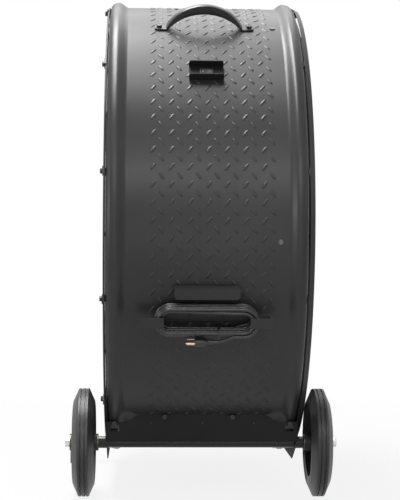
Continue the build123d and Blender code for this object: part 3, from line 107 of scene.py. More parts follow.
def finish_mesh(name, bm, sharp=35.0):
    """Object from a bmesh, smooth but for its edges sharper than an angle in degrees."""
    bmesh.ops.recalc_face_normals(bm, faces=bm.faces)
    mesh = bpy.data.meshes.new(name)
    bm.to_mesh(mesh)
    bm.free()
    mesh.shade_smooth()
    mesh.set_sharp_from_angle(angle=math.radians(sharp))
    obj = bpy.data.objects.new(name, mesh)
    bpy.context.scene.collection.objects.link(obj)
    return obj


def wear(obj, material):
    """Give a piece its material."""
    obj.data.materials.append(material)


def place(obj, body, matrix=None):
    """Move a piece's mesh into the row frame and make it ride on a body."""
    if matrix is not None:
        obj.data.transform(matrix)
    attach(obj, body)


def add_band(bm, a, b):
    """Faces between two closed loops of vertices of the same length."""
    for k in range(len(a)):
        n = (k + 1) % len(a)
        bm.faces.new((a[k], a[n], b[n], b[k]))


def add_caps(bm, first, last):
    """Close the two ends of a run of loops."""
    bm.faces.new(first)
    bm.faces.new(list(reversed(last)))


def add_turned(bm, profile, turns, centre, wave=None):
    """Closed (x, radius) profile turned round X; wave may move a point with its angle."""
    rings = []
    for i in range(turns):
        a = 2 * math.pi * i / turns
        ring = []
        for k, (x, r) in enumerate(profile):
            if wave:
                x, r = wave(k, x, r, a)
            spot = (centre[0] + x, centre[1] - r * math.cos(a), centre[2] + r * math.sin(a))
            ring.append(bm.verts.new(spot))
        rings.append(ring)
    for a, b in zip(rings, rings[1:] + rings[:1]):
        add_band(bm, a, b)


def add_ring(bm, radius, x, wire, sides=8):
    """Wire ring round the drum axis."""
    profile = []
    for k in range(sides):
        a = 2 * math.pi * k / sides
        profile.append((x + wire / 2 * math.cos(a), radius + wire / 2 * math.sin(a)))
    add_turned(bm, profile, DRUM_TURNS, (0, 0, AXIS_HEIGHT))


def add_rod(bm, a, b, radius, sides=12):
    """Round rod between two points."""
    a = Vector(a)
    b = Vector(b)
    turn = (b - a).to_track_quat("Z", "Y").to_matrix().to_4x4()
    spot = Matrix.Translation((a + b) / 2) @ turn
    bmesh.ops.create_cone(bm, cap_ends=True, segments=sides, radius1=radius, radius2=radius,
                          depth=(b - a).length, matrix=spot)


def add_box(bm, low, high, matrix=None):
    """Box between two corners, in a local frame if one is given."""
    low = Vector(low)
    high = Vector(high)
    size = Matrix.Diagonal((*(high - low), 1))
    spot = Matrix.Translation((low + high) / 2) @ size
    if matrix is not None:
        spot = matrix @ spot
    bmesh.ops.create_cube(bm, size=1, matrix=spot)


# ---------------------------------------------------------------- materials
def new_material(name, rough, metal=0.0, spec=0.5):
    """Principled material with its even values on the shader's own sockets."""
    mat = bpy.data.materials.new(name)
    mat.use_nodes = True
    shader = mat.node_tree.nodes["Principled BSDF"]
    shader.inputs["Roughness"].default_value = rough
    shader.inputs["Metallic"].default_value = metal
    shader.inputs["Specular IOR Level"].default_value = spec
    return mat, mat.node_tree, shader


def noise_node(tree, scale, detail=3.0):
    """Noise in the row frame."""
    coords = tree.nodes.new("ShaderNodeTexCoord")
    noise = tree.nodes.new("ShaderNodeTexNoise")
    noise.inputs["Scale"].default_value = scale
    noise.inputs["Detail"].default_value = detail
    tree.links.new(coords.outputs["Object"], noise.inputs["Vector"])
    return noise


def mottle(tree, shader, dark, light, noise):
    """Colour that drifts between two tones."""
    ramp = tree.nodes.new("ShaderNodeValToRGB")
    for stop, spot, tone in zip(ramp.color_ramp.elements, (0.35, 0.65), (dark, light)):
        stop.position = spot
        stop.color = (*tone, 1)
    tree.links.new(noise.outputs["Fac"], ramp.inputs["Fac"])
    tree.links.new(ramp.outputs["Color"], shader.inputs["Base Color"])


def vary_rough(tree, shader, low, high, noise):
    """Roughness that drifts between two values."""
    span = tree.nodes.new("ShaderNodeMapRange")
    span.inputs["To Min"].default_value = low
    span.inputs["To Max"].default_value = high
    tree.links.new(noise.outputs["Fac"], span.inputs["Value"])
    tree.links.new(span.outputs["Result"], shader.inputs["Roughness"])


def bump(tree, shader, noise, strength, height):
    """Fine surface relief from a noise."""
    node = tree.nodes.new("ShaderNodeBump")
    node.inputs["Strength"].default_value = strength
    node.inputs["Distance"].default_value = height
    tree.links.new(noise.outputs["Fac"], node.inputs["Height"])
    tree.links.new(node.outputs["Normal"], shader.inputs["Normal"])


def powder_coat(name, dark, light, rough, grain=900.0, strength=0.12, spec=0.3):
    """Baked powder coat: slight orange peel, drifting sheen."""
    mat, tree, shader = new_material(name, rough, spec=spec)
    mottle(tree, shader, dark, light, noise_node(tree, 5.0))
    vary_rough(tree, shader, rough - 0.05, rough + 0.06, noise_node(tree, 14.0))
    bump(tree, shader, noise_node(tree, grain, 2.0), strength, 0.3 * MM)
    return mat


def rubber(name, dark, light, rough):
    """Moulded rubber with a fine grain."""
    mat, tree, shader = new_material(name, rough, spec=0.35)
    mottle(tree, shader, dark, light, noise_node(tree, 40.0))
    bump(tree, shader, noise_node(tree, 500.0), 0.2, 0.4 * MM)
    return mat


def bare_metal(name, dark, light, rough):
    """Plated or bare metal with a fine grain."""
    mat, tree, shader = new_material(name, rough, metal=1.0)
    mottle(tree, shader, dark, light, noise_node(tree, 60.0))
    vary_rough(tree, shader, rough - 0.06, rough + 0.1, noise_node(tree, 90.0))
    bump(tree, shader, noise_node(tree, 300.0, 2.0), 0.08, 0.2 * MM)
    return mat


def plastic(name, dark, light, rough):
    """Moulded plastic."""
    mat, tree, shader = new_material(name, rough)
    mottle(tree, shader, dark, light, noise_node(tree, 30.0))
    bump(tree, shader, noise_node(tree, 1200.0, 2.0), 0.06, 0.2 * MM)
    return mat


def ink(name, dark, light):
    """Pale printing ink."""
    mat, tree, shader = new_material(name, 0.5)
    mottle(tree, shader, dark, light, noise_node(tree, 200.0))
    return mat


def grey(value):
    """Neutral tone."""
    return (value, value, value)


MATERIALS = {
    "body_paint": powder_coat("drum_powder_coat", grey(0.015), grey(0.021), 0.37),
    "guard_paint": powder_coat("guard_powder_coat", grey(0.018), grey(0.025), 0.38),
    "fastener_black": powder_coat("black_oxide", grey(0.008), grey(0.014), 0.38, 1500.0),
    "motor_paint": powder_coat("motor_enamel", grey(0.03), grey(0.045), 0.45, 500.0),
    "blade_metal": powder_coat("blade_enamel", grey(0.025), grey(0.035), 0.42),
    "cast": powder_coat("cast_iron_paint", grey(0.05), grey(0.08), 0.6, 350.0, 0.4),
    "zinc": bare_metal("zinc_plate", grey(0.50), grey(0.66), 0.32),
    "washer_brass": bare_metal("yellow_zinc", (0.10, 0.092, 0.075), (0.18, 0.16, 0.13), 0.35),
    "plug_brass": bare_metal("plug_brass_metal", (0.56, 0.42, 0.33), (0.74, 0.58, 0.48), 0.30),
    "tyre_rubber": rubber("tyre_compound", grey(0.020), grey(0.030), 0.42),
    "foot_rubber": rubber("foot_compound", grey(0.016), grey(0.026), 0.6),
    "belt_rubber": rubber("belt_compound", grey(0.015), grey(0.028), 0.65),
    "cord_jacket": plastic("cord_jacket_vinyl", grey(0.012), grey(0.018), 0.26),
    "hub_plastic": plastic("hub_polymer", grey(0.018), grey(0.028), 0.5),
    "plug_plastic": plastic("plug_vinyl", grey(0.012), grey(0.018), 0.35),
    "switch_plastic": plastic("switch_polymer", grey(0.008), grey(0.012), 0.5),
}
SATIN_BLACK = powder_coat("satin_black", grey(0.007), grey(0.011), 0.34)
DULL_BLACK = powder_coat("dull_black", grey(0.006), grey(0.010), 0.60, spec=0.15)
MARK_INK = ink("switch_mark_ink", grey(0.30), grey(0.40))

# Nodes whose look differs from the rest of their slot.
NODE_LOOKS = {
    "cradle_web_wheel_side": DULL_BLACK,
    "cradle_web_foot_side": DULL_BLACK,
    "side_plate_front": DULL_BLACK,
    "side_plate_rear": DULL_BLACK,
    "switch_guard": DULL_BLACK,
    "foot_bar": SATIN_BLACK,
    "axle_tube": powder_coat("gloss_black", grey(0.007), grey(0.011), 0.20),
    "switch_rocker": plastic("rocker_polymer", grey(0.006), grey(0.009), 0.7),
    "drum_screws": bare_metal("blued_screw", grey(0.06), grey(0.11), 0.38),
}


# ---------------------------------------------------------------- CAD nodes
WELD_GAP = 0.01 * MM
SHARP_EDGE = math.radians(40)
FINE_EDGE = 0.5 * MM
SOFT_EDGE = 2.0 * MM
FINE_EDGED = {"guard_bolts", "handle_bolts", "cradle_bolts", "cord_wrap_rivets", "drum_screws",
              "axle_nuts", "axle_washers", "front_guard_clips", "switch_guard", "switch_body",
              "switch_rocker", "cord_wrap", "cord_gland", "cord_tie", "plug_prongs",
              "cradle_web_wheel_side", "cradle_web_foot_side", "side_plate_front",
              "side_plate_rear", "drum_brackets", "bearing_bolts", "motor_bolts",
              "motor_cradle"}
SOFT_EDGED = {"foot_front", "foot_rear", "motor_body", "motor_wiring_box",
              "pillow_block_front", "pillow_block_rear", "fan_hub"}


def round_edges(obj, width, segments):
    """Weld a node's facets and round its sharp edges a little."""
    weld = obj.modifiers.new("weld", "WELD")
    weld.merge_threshold = WELD_GAP
    bevel = obj.modifiers.new("edges", "BEVEL")
    bevel.width = width
    bevel.segments = segments
    bevel.limit_method = "ANGLE"
    bevel.angle_limit = SHARP_EDGE
    bevel.harden_normals = False


def dress_nodes():
    """Give every CAD node its material, and round the edges of the visible ones."""
    for part in frame["record"]["subparts"]:
        name = part["node"]
        obj = frame["nodes"][name]
        obj.data.materials.clear()
        obj.data.materials.append(NODE_LOOKS.get(name) or MATERIALS[part["material_slot"]])
        if name in FINE_EDGED:
            round_edges(obj, FINE_EDGE, segments=2)
        if name in SOFT_EDGED:
            round_edges(obj, SOFT_EDGE, segments=3)


# ---------------------------------------------------------------- supply cord
# In the cord wrap's plane: x along the air axis, t round the drum, lift off the sheet.
WRAP_ANGLE = -21.6
CORD = 8.2 * MM
LAYER_PITCH = 8.7 * MM
TURN_PITCH = 8.9 * MM
HANK_HALF = 79.0 * MM      # hank's centre to the middle of its end turns
HANK_OUTER = 35.0 * MM
HANK_LIFT = 13.4 * MM
HANK_HALF_TURNS = 12
HANK_LAYER_TURNS = 3
HANK_END_X = 70.8 * MM
LAST_LAYER = (HANK_HALF_TURNS - 1) // HANK_LAYER_TURNS
CLIMB_END = 0.3            # share of the half run where a climb begins and ends
TURN_STEPS = 6             # control points round each half turn
GLAND_X = 105.0 * MM
GLAND_T = -18.5 * MM
GLAND_LIFT = 4.7 * MM
PLUG_X = 14.0 * MM
PLUG_T = -48.6 * MM
PLUG_LIFT = 36.0 * MM


def layer_lift(layer):
    """Height of a layer's centre line above the drum sheet."""
    return HANK_LIFT + layer * LAYER_PITCH


def hank_runs():
    """One (side, offset, layer, next layer) for each straight run; side -1 is the bottom."""
    runs = []
    for i in range(HANK_HALF_TURNS + 1):
        layer, step = divmod(i, HANK_LAYER_TURNS)
        depth = step if layer % 2 == 0 else HANK_LAYER_TURNS - step
        climbs = step == 0 and 0 < i < HANK_HALF_TURNS
        end = min(layer, LAST_LAYER)
        start = layer - 1 if climbs else end
        runs.append((-1 if i % 2 == 0 else 1, HANK_OUTER - TURN_PITCH / 2 * depth, start, end))
    return runs


def hank_points():
    """Control points of the wound turns."""
    points = []
    runs = hank_runs()
    step = math.pi / TURN_STEPS
    tangent = math.tan(step / 2)
    for i, (side, off, start, end) in enumerate(runs):
        t = side * off
        x0 = -side * HANK_HALF
        x1 = side * HANK_HALF
        if i > 0:
            points.append((x0 + side * tangent * off, t, layer_lift(start)))
        if start != end:
            points.append((x0 + side * CLIMB_END * HANK_HALF, t, layer_lift(start)))
            points.append((x1 - side * CLIMB_END * HANK_HALF, t, layer_lift(end)))
        if i == len(runs) - 1:
            points.append((HANK_END_X, t, layer_lift(end)))
            break
        points.append((x1 - side * tangent * off, t, layer_lift(end)))
        below = -side * runs[i + 1][1]
        centre = (t + below) / 2
        outer = abs(t - below) / 2 / math.cos(step / 2)
        for k in range(TURN_STEPS):
            a = math.pi / 2 - step * (k + 0.5)
            points.append((x1 + side * outer * math.cos(a),
                           centre + side * outer * math.sin(a), layer_lift(end)))
    return points


LEAD_POINTS = [(GLAND_X, GLAND_T, GLAND_LIFT), (84.0 * MM, GLAND_T, GLAND_LIFT),
               (48.0 * MM, -HANK_OUTER, GLAND_LIFT), (16.0 * MM, -HANK_OUTER, HANK_LIFT),
               (0.0, -HANK_OUTER, HANK_LIFT)]
TAIL_POINTS = [(HANK_END_X - 15.0 * MM, -HANK_OUTER, layer_lift(LAST_LAYER)),
               (PLUG_X + 15.0 * MM, PLUG_T, PLUG_LIFT), (PLUG_X, PLUG_T, PLUG_LIFT)]


def make_cord():
    """The whole supply cord as one smooth curve, from the gland to the plug."""
    matrix = drum_frame(WRAP_ANGLE)
    route = LEAD_POINTS + hank_points() + TAIL_POINTS
    curve = bpy.data.curves.new("supply_cord", "CURVE")
    curve.dimensions = "3D"
    curve.bevel_depth = CORD / 2
    curve.bevel_resolution = 5
    curve.resolution_u = 6
    spline = curve.splines.new("NURBS")
    spline.points.add(len(route) - 1)
    for point, spot in zip(spline.points, route):
        point.co = (*(matrix @ Vector(spot)), 1)
    spline.order_u = 3
    spline.use_endpoint_u = True
    obj = bpy.data.objects.new("supply_cord", curve)
    bpy.context.scene.collection.objects.link(obj)
    wear(obj, MATERIALS["cord_jacket"])
    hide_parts("cord_lead", "cord_hank", "cord_tail")
    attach(obj, "drum_frame")
    return obj, matrix @ Vector(LEAD_POINTS[0])


# Sections of the moulding in millimetres: (distance from the cord, half height, half depth,
# power), where a power of 1 is an ellipse and less is squarer.
PLUG_SECTIONS = [(0.0, 4.9, 4.9, 1.0), (12.0, 5.3, 5.3, 1.0), (13.5, 7.4, 6.2, 0.8),
                 (17.0, 10.2, 7.6, 0.7), (22.0, 11.9, 8.9, 0.6), (32.0, 11.9, 8.9, 0.6),
                 (36.0, 11.6, 8.6, 0.6), (40.0, 11.6, 8.6, 0.6)]
PLUG_SIDES = 32
RIB_COUNT = 4
RIB_FIRST = 2.0 * MM
RIB_PITCH = 2.6 * MM
RIB_WIDE = 1.3 * MM
RIB_RADIUS = 5.6 * MM


def make_plug():
    """Moulded plug with a ribbed strain relief, in place of the plain one."""
    bm = bmesh.new()
    local = Matrix.Translation((PLUG_X, PLUG_T, PLUG_LIFT))
    rings = []
    for x, lift, deep, power in PLUG_SECTIONS:
        ring = []
        for k in range(PLUG_SIDES):
            a = 2 * math.pi * k / PLUG_SIDES
            y = deep * math.copysign(abs(math.cos(a)) ** power, math.cos(a))
            z = lift * math.copysign(abs(math.sin(a)) ** power, math.sin(a))
            ring.append(bm.verts.new(local @ Vector((-x * MM, y * MM, z * MM))))
        rings.append(ring)
    for a, b in zip(rings, rings[1:]):
        add_band(bm, a, b)
    add_caps(bm, rings[0], rings[-1])
    for k in range(RIB_COUNT):
        x = -RIB_FIRST - RIB_PITCH * k
        add_rod(bm, local @ Vector((x, 0, 0)), local @ Vector((x - RIB_WIDE, 0, 0)), RIB_RADIUS,
                sides=24)
    obj = finish_mesh("plug_moulding", bm, sharp=40)
    wear(obj, MATERIALS["plug_plastic"])
    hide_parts("power_plug")
    place(obj, "drum_frame", drum_frame(WRAP_ANGLE))
    return obj


# ---------------------------------------------------------------- drum
BEAD_RADIUS = 562.0 * MM
BEAD_X = 202.0 * MM        # the bead's crest
BEAD_FOOT = 24.0 * MM      # crest to foot along the drum
BEAD_STEPS = 10
FLANGE_RADIUS = 534.0 * MM


def bead_profile(side):
    """Outside of one bead, from its foot over the crest to the drum's edge."""
    points = []
    high = BEAD_RADIUS - DRUM_RADIUS
    for k in range(BEAD_STEPS + 1):
        u = k / BEAD_STEPS
        x = BEAD_X - BEAD_FOOT * (1 - u)
        points.append((side * x, DRUM_RADIUS + high * (3 * u * u - 2 * u * u * u)))
    for k in range(1, BEAD_STEPS + 1):
        a = k / BEAD_STEPS * math.pi / 2
        x = BEAD_X + (DRUM_HALF - BEAD_X) * math.sin(a)
        points.append((side * x, BEAD_RADIUS - high * (1 - math.cos(a))))
    return points


def make_drum_skin():
    """Smooth rolled drum with its beads and flanges, in place of the plain shell."""
    outer = list(reversed(bead_profile(-1))) + bead_profile(1)
    inner = [(x - math.copysign(SHEET, x) * (abs(x) > BEAD_X), r - SHEET)
             for x, r in reversed(outer)][1:-1]
    rear_lip = [(DRUM_HALF, FLANGE_RADIUS), (DRUM_HALF - SHEET, FLANGE_RADIUS)]
    front_lip = [(-x, r) for x, r in reversed(rear_lip)]
    bm = bmesh.new()
    add_turned(bm, outer + rear_lip + inner + front_lip, DRUM_TURNS, (0, 0, AXIS_HEIGHT))
    obj = finish_mesh("drum_skin", bm, sharp=50)
    wear(obj, MATERIALS["body_paint"])
    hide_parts("drum_shell")
    place(obj, "drum_frame")


# Raised bars in pairs, the second of a pair tilted the other way and half a row higher.
TREAD_FIRST_X = -119.6 * MM
TREAD_PAIR = 40.7 * MM     # axial pitch of the pairs
TREAD_BESIDE = 17.7 * MM   # second bar beside the first
TREAD_PAIRS = 7
TREAD_PHASE = 0.5          # degrees
TREAD_ROW = 39.5 * MM      # pitch round the drum
BAR_LONG = 23.0 * MM
BAR_WIDE = 7.2 * MM
BAR_HIGH = 1.1 * MM
BAR_SINK = 0.3 * MM
BAR_TILT = 38.0            # degrees off the direction round the drum
BAR_SHOULDER = 0.55        # share of the half length where the points begin
BAR_TOP_LONG = 0.78        # top against base
BAR_TOP_WIDE = 0.55


def add_bar(bm, matrix):
    """Raised lozenge bar with pointed ends and sloping sides."""
    long = BAR_LONG / 2
    wide = BAR_WIDE / 2
    shoulder = long * BAR_SHOULDER
    base = [(-long, 0), (-shoulder, -wide), (shoulder, -wide), (long, 0), (shoulder, wide),
            (-shoulder, wide)]
    low = [bm.verts.new(matrix @ Vector((x, y, -BAR_SINK))) for x, y in base]
    high = [bm.verts.new(matrix @ Vector((x * BAR_TOP_LONG, y * BAR_TOP_WIDE, BAR_HIGH)))
            for x, y in base]
    add_band(bm, low, high)
    add_caps(bm, high, low)


def make_tread_plate():
    """Raised pattern rolled into the middle of the drum."""
    bm = bmesh.new()
    rows = round(2 * math.pi * DRUM_RADIUS / TREAD_ROW)
    for i in range(rows):
        for k in range(2 * TREAD_PAIRS):
            pair, second = divmod(k, 2)
            angle = 360 / rows * (i + 0.5 * second) + TREAD_PHASE
            tilt = math.radians(-BAR_TILT if second else BAR_TILT)
            x = TREAD_FIRST_X + pair * TREAD_PAIR + second * TREAD_BESIDE
            add_bar(bm, drum_frame(angle, x) @ Matrix.Rotation(math.pi / 2 - tilt, 4, "Z"))
    obj = finish_mesh("tread_plate_bars", bm, sharp=60)
    wear(obj, MATERIALS["body_paint"])
    place(obj, "drum_frame")


# ---------------------------------------------------------------- handle
HANDLE_ANGLE = 57.0
HANDLE_SPAN = 88.0 * MM     # arch foot to centre
HANDLE_RISE = 59.5 * MM
HANDLE_THICK = 4.0 * MM
HANDLE_HALF = 14.0 * MM     # half width of the tabs and the arch's feet
HANDLE_TAB = 28.0 * MM
TAB_CORNER = 11.0 * MM
CORNER_STEPS = 8
GRIP_HALF = 7.0 * MM        # half width at the top, between the folded edges
GRIP_DEEP = 20.5 * MM       # folded edge at the top of the arch
GRIP_FOOT = 0.4 * MM        # folded edge at the arch's feet, below the strap
GRIP_FULL = 1.15            # power that keeps the fold slender near the feet
GRIP_WALL = 2.0 * MM
GRIP_SOFT = 1.6 * MM        # rounding of the fold
GRIP_STEPS = 48


def grip_section(u):
    """Inverted channel at u along the arch, from -1 to 1: (across, outward) pairs."""
    arch = 1 - u * u
    half = HANDLE_HALF - (HANDLE_HALF - GRIP_HALF) * arch
    deep = HANDLE_THICK + GRIP_FOOT + (GRIP_DEEP - HANDLE_THICK) * arch ** GRIP_FULL
    left = [(-half + GRIP_WALL, -HANDLE_THICK), (-half + GRIP_WALL, -deep), (-half, -deep),
            (-half, -GRIP_SOFT), (-half + 0.3 * GRIP_SOFT, -0.3 * GRIP_SOFT),
            (-half + GRIP_SOFT, 0)]
    return left + [(-y, r) for y, r in reversed(left)]


def add_grip(bm):
    """Arch of the handle, its edges folded down."""
    rise = HANDLE_RISE - HANDLE_THICK
    radius = (HANDLE_SPAN ** 2 + rise ** 2) / (2 * rise)
    centre = HANDLE_RISE - HANDLE_THICK / 2 - radius
    last = math.asin(HANDLE_SPAN / radius)
    rings = []
    for k in range(GRIP_STEPS + 1):
        u = 2 * k / GRIP_STEPS - 1
        ring = []
        for y, outward in grip_section(u):
            reach = radius + HANDLE_THICK / 2 + outward
            spot = (reach * math.sin(last * u), y, centre + reach * math.cos(last * u))
            ring.append(bm.verts.new(spot))
        rings.append(ring)
    for low, high in zip(rings, rings[1:]):
        add_band(bm, low, high)
    add_caps(bm, rings[0], rings[-1])


def add_tab(bm, side):
    """Flat tab at one end of the handle, its outer corners rounded."""
    inner = side * (HANDLE_SPAN - HANDLE_THICK / 2)
    end = side * (HANDLE_SPAN + HANDLE_TAB)
    shape = [(inner, -HANDLE_HALF), (inner, HANDLE_HALF)]
    for turn, y in ((90, 1), (0, -1)):
        for k in range(CORNER_STEPS + 1):
            a = math.radians(turn - 90 / CORNER_STEPS * k)
            shape.append((end - side * TAB_CORNER + side * TAB_CORNER * math.cos(a),
                          y * (HANDLE_HALF - TAB_CORNER) + TAB_CORNER * math.sin(a)))
    low = [bm.verts.new((x, y, 0)) for x, y in shape]
    high = [bm.verts.new((x, y, HANDLE_THICK)) for x, y in shape]
    add_band(bm, low, high)
    add_caps(bm, high, low)


def make_handle():
    """Formed strap handle: an arched grip with a tab at each end, in place of the strap."""
    bm = bmesh.new()
    add_grip(bm)
    for side in (-1, 1):
        add_tab(bm, side)
    obj = finish_mesh("formed_handle", bm, sharp=40)
    wear(obj, SATIN_BLACK)
    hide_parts("carry_handle")
    place(obj, "drum_frame", drum_frame(HANDLE_ANGLE))


# ---------------------------------------------------------------- guards
WIRE = 5.0 * MM
RING_WIRE = 4.0 * MM
RING_SINK = 0.3 * MM       # rings set into the spokes
RIM_WIRE_RADIUS = 546.5 * MM
RING_OUTER = 528.0 * MM
RING_PITCH = 19.5 * MM
SPOKE_COUNT = 12
SPOKE_UNDER = 4.0 * MM     # spoke's end under the disc's edge
DISC_RADIUS = 62.0 * MM
DISC_THICK = 3.0 * MM
DISC_EDGE = 1.0 * MM
DISC_EYE = 0.5 * MM        # radius of the pinhole at the centre
DISC_TURNS = 64
HOOP_THICK = 1.5 * MM
HOOP_WIDE = 11.0 * MM
HOOP_INNER_R = 552.0 * MM
HOOP_OUTER_R = 547.0 * MM
TAB_HALF = 8.0 * MM
TAB_THICK = 3.0 * MM
TAB_BELOW = 5.5 * MM       # bolt circle to the tab's inner end
SPACER_LONG = 11.0 * MM


def add_spokes(bm, x, reach):
    """Straight spokes from the centre disc outwards, half a step off the bolts."""
    centre = Vector((x, 0, AXIS_HEIGHT))
    for i in range(SPOKE_COUNT):
        a = math.radians(FIRST_BOLT + 360 / SPOKE_COUNT * (i + 0.5))
        out = Vector((0, -math.cos(a), math.sin(a)))
        add_rod(bm, centre + out * (DISC_RADIUS - SPOKE_UNDER), centre + out * reach, WIRE / 2)


def add_rings(bm, x):
    """Close rings, evenly spaced from the outer one in to the disc."""
    for i in range(int((RING_OUTER - DISC_RADIUS) / RING_PITCH)):
        add_ring(bm, RING_OUTER - RING_PITCH * i, x, RING_WIRE)


def add_disc(bm, x):
    """Flat centre disc with a bevelled edge."""
    half = DISC_THICK / 2
    bevel = DISC_RADIUS - DISC_EDGE
    profile = [(x - half, DISC_EYE), (x - half, bevel), (x, DISC_RADIUS), (x + half, bevel),
               (x + half, DISC_EYE)]
    add_turned(bm, profile, DISC_TURNS, (0, 0, AXIS_HEIGHT))


def make_front_guard():
    """Outlet guard: rim wire, close rings, spokes and disc."""
    bm = bmesh.new()
    x = -DRUM_HALF - PLATE - WIRE / 2
    add_ring(bm, RIM_WIRE_RADIUS, x, WIRE, sides=12)
    add_rings(bm, x + WIRE / 2 + RING_WIRE / 2 - RING_SINK)
    add_spokes(bm, x, RIM_WIRE_RADIUS)
    add_disc(bm, x)
    obj = finish_mesh("outlet_guard_wires", bm, sharp=50)
    wear(obj, MATERIALS["guard_paint"])
    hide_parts("front_guard", "front_guard_rim")
    place(obj, "drum_frame")


def add_guard_tabs(bm):
    """Tab at each bolt of the intake guard, on a spacer where no side plate lies below."""
    low = BOLT_CIRCLE - TAB_BELOW - DRUM_RADIUS
    high = HOOP_INNER_R - HOOP_THICK - DRUM_RADIUS
    face = DRUM_HALF + PLATE
    for i in range(BOLT_COUNT):
        angle = FIRST_BOLT - 360 / BOLT_COUNT * i
        matrix = drum_frame(angle)
        add_box(bm, (face, -TAB_HALF, low), (face + TAB_THICK, TAB_HALF, high), matrix)
        if BOLT_CIRCLE * math.sin(math.radians(angle)) > -PLATE_DROP:
            add_box(bm, (DRUM_HALF, -TAB_HALF, low), (face, TAB_HALF, low + SPACER_LONG), matrix)


def make_rear_guard():
    """Intake guard: rolled band, tabs, close rings, spokes and disc."""
    bm = bmesh.new()
    x0 = DRUM_HALF + PLATE + HOOP_THICK
    x1 = x0 + HOOP_WIDE
    band = [(x0, HOOP_INNER_R), (x1, HOOP_OUTER_R), (x1, HOOP_OUTER_R - HOOP_THICK),
            (x0, HOOP_INNER_R - HOOP_THICK)]
    add_turned(bm, band, DRUM_TURNS, (0, 0, AXIS_HEIGHT))
    x = x1 - WIRE / 2 - HOOP_THICK
    add_rings(bm, x - WIRE / 2 - RING_WIRE / 2 + RING_SINK)
    add_spokes(bm, x, HOOP_OUTER_R - HOOP_THICK)
    add_disc(bm, x)
    add_guard_tabs(bm)
    obj = finish_mesh("intake_guard_wires", bm, sharp=50)
    wear(obj, MATERIALS["guard_paint"])
    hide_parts("rear_guard", "rear_guard_band")
    place(obj, "drum_frame")


# ---------------------------------------------------------------- wheels
AXLE_Y = -264.0 * MM
WHEEL_RADIUS = 127.0 * MM
WHEEL_X = 277.0 * MM
TREAD_HALF = 12.0 * MM
TREAD_BEVEL = 0.8 * MM
TREAD_BEVEL_R = 125.6 * MM
TYRE_HALF = 25.5 * MM
SHOULDER_R = 95.0 * MM
TYRE_BORE = 80.0 * MM
TYRE_BEAD_HALF = 22.0 * MM
# Sidewall from the tread to the bore: (half width, radius).
SIDEWALL = [(16.5 * MM, 117.0 * MM), (21.5 * MM, 106.0 * MM), (24.8 * MM, 99.0 * MM),
            (TYRE_HALF, SHOULDER_R), (24.8 * MM, 91.0 * MM), (22.8 * MM, 88.0 * MM),
            (22.8 * MM, 85.0 * MM), (TYRE_BEAD_HALF, TYRE_BORE)]
GROOVE_X = 5.2 * MM
GROOVE_HALF = 1.7 * MM
GROOVE_DEEP = 3.0 * MM
GROOVE_FLOOR = 0.6         # floor of a groove against its mouth
GROOVE_WAVES = 28
GROOVE_SWING = 0.5 * MM
WAVE_STEPS = 10            # facets to a wave
GROOVE_POINTS = 4          # of one groove, at each end of the profile


def tyre_profile():
    """Closed tyre section: grooved tread, sidewalls and bore."""
    floor = GROOVE_FLOOR * GROOVE_HALF
    deep = WHEEL_RADIUS - GROOVE_DEEP
    groove = [(GROOVE_X - GROOVE_HALF, WHEEL_RADIUS), (GROOVE_X - floor, deep),
              (GROOVE_X + floor, deep), (GROOVE_X + GROOVE_HALF, WHEEL_RADIUS)]
    edge = [(TREAD_HALF - TREAD_BEVEL, WHEEL_RADIUS), (TREAD_HALF + TREAD_BEVEL, TREAD_BEVEL_R)]
    half = groove + edge + SIDEWALL
    return half + [(-x, r) for x, r in reversed(half)]


def make_tyre(end, side):
    """Tyre with two slightly wavy grooves round its tread."""
    profile = tyre_profile()

    def wave(k, x, r, a):
        """Swing the points of the two grooves, at the ends of the profile."""
        if GROOVE_POINTS <= k < len(profile) - GROOVE_POINTS:
            return x, r
        return x + GROOVE_SWING * math.sin(GROOVE_WAVES * a), r

    bm = bmesh.new()
    centre = (side * WHEEL_X, AXLE_Y, WHEEL_RADIUS)
    add_turned(bm, profile, GROOVE_WAVES * WAVE_STEPS, centre, wave)
    obj = finish_mesh("tyre_tread_" + end, bm, sharp=40)
    wear(obj, MATERIALS["tyre_rubber"])
    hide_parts("tyre_" + end)
    place(obj, "wheel_" + end)


# ---------------------------------------------------------------- switch marks
SWITCH_ANGLE = 38.2
MARKS_X = (-8.4 * MM, -7.0 * MM, 8.0 * MM)
MARK_HALF_WIDE = 0.3 * MM
MARK_HALF_LONG = 1.8 * MM
MARK_LIFT = 6.8 * MM       # above the drum sheet
MARK_HIGH = 0.2 * MM


def make_marks():
    """Plain position marks on the rocker: two bars at one end, one at the other."""
    bm = bmesh.new()
    for x in MARKS_X:
        add_box(bm, (x - MARK_HALF_WIDE, -MARK_HALF_LONG, MARK_LIFT),
                (x + MARK_HALF_WIDE, MARK_HALF_LONG, MARK_LIFT + MARK_HIGH))
    obj = finish_mesh("switch_marks", bm, sharp=30)
    wear(obj, MARK_INK)
    place(obj, "rocker", drum_frame(SWITCH_ANGLE))


# ---------------------------------------------------------------- stage and light
FLOOR_SIZE = 14.0
FLOOR_COLOUR = 0.50
FLOOR_WHITE = 0.86         # share of white near the fan
SHADOW_NEAR = 0.5          # distances between which the floor turns fully white
SHADOW_FAR = 2.4
WORLD_LIGHT = 0.30
WHITE = (1, 1, 1, 1)


def seen_directly(tree):
    """Socket that is 1 for camera, glossy and transmission rays."""
    path = tree.nodes.new("ShaderNodeLightPath")
    last = path.outputs["Is Camera Ray"]
    for kind in ("Is Glossy Ray", "Is Transmission Ray"):
        largest = tree.nodes.new("ShaderNodeMath")
        largest.operation = "MAXIMUM"
        tree.links.new(last, largest.inputs[0])
        tree.links.new(path.outputs[kind], largest.inputs[1])
        last = largest.outputs["Value"]
    return last


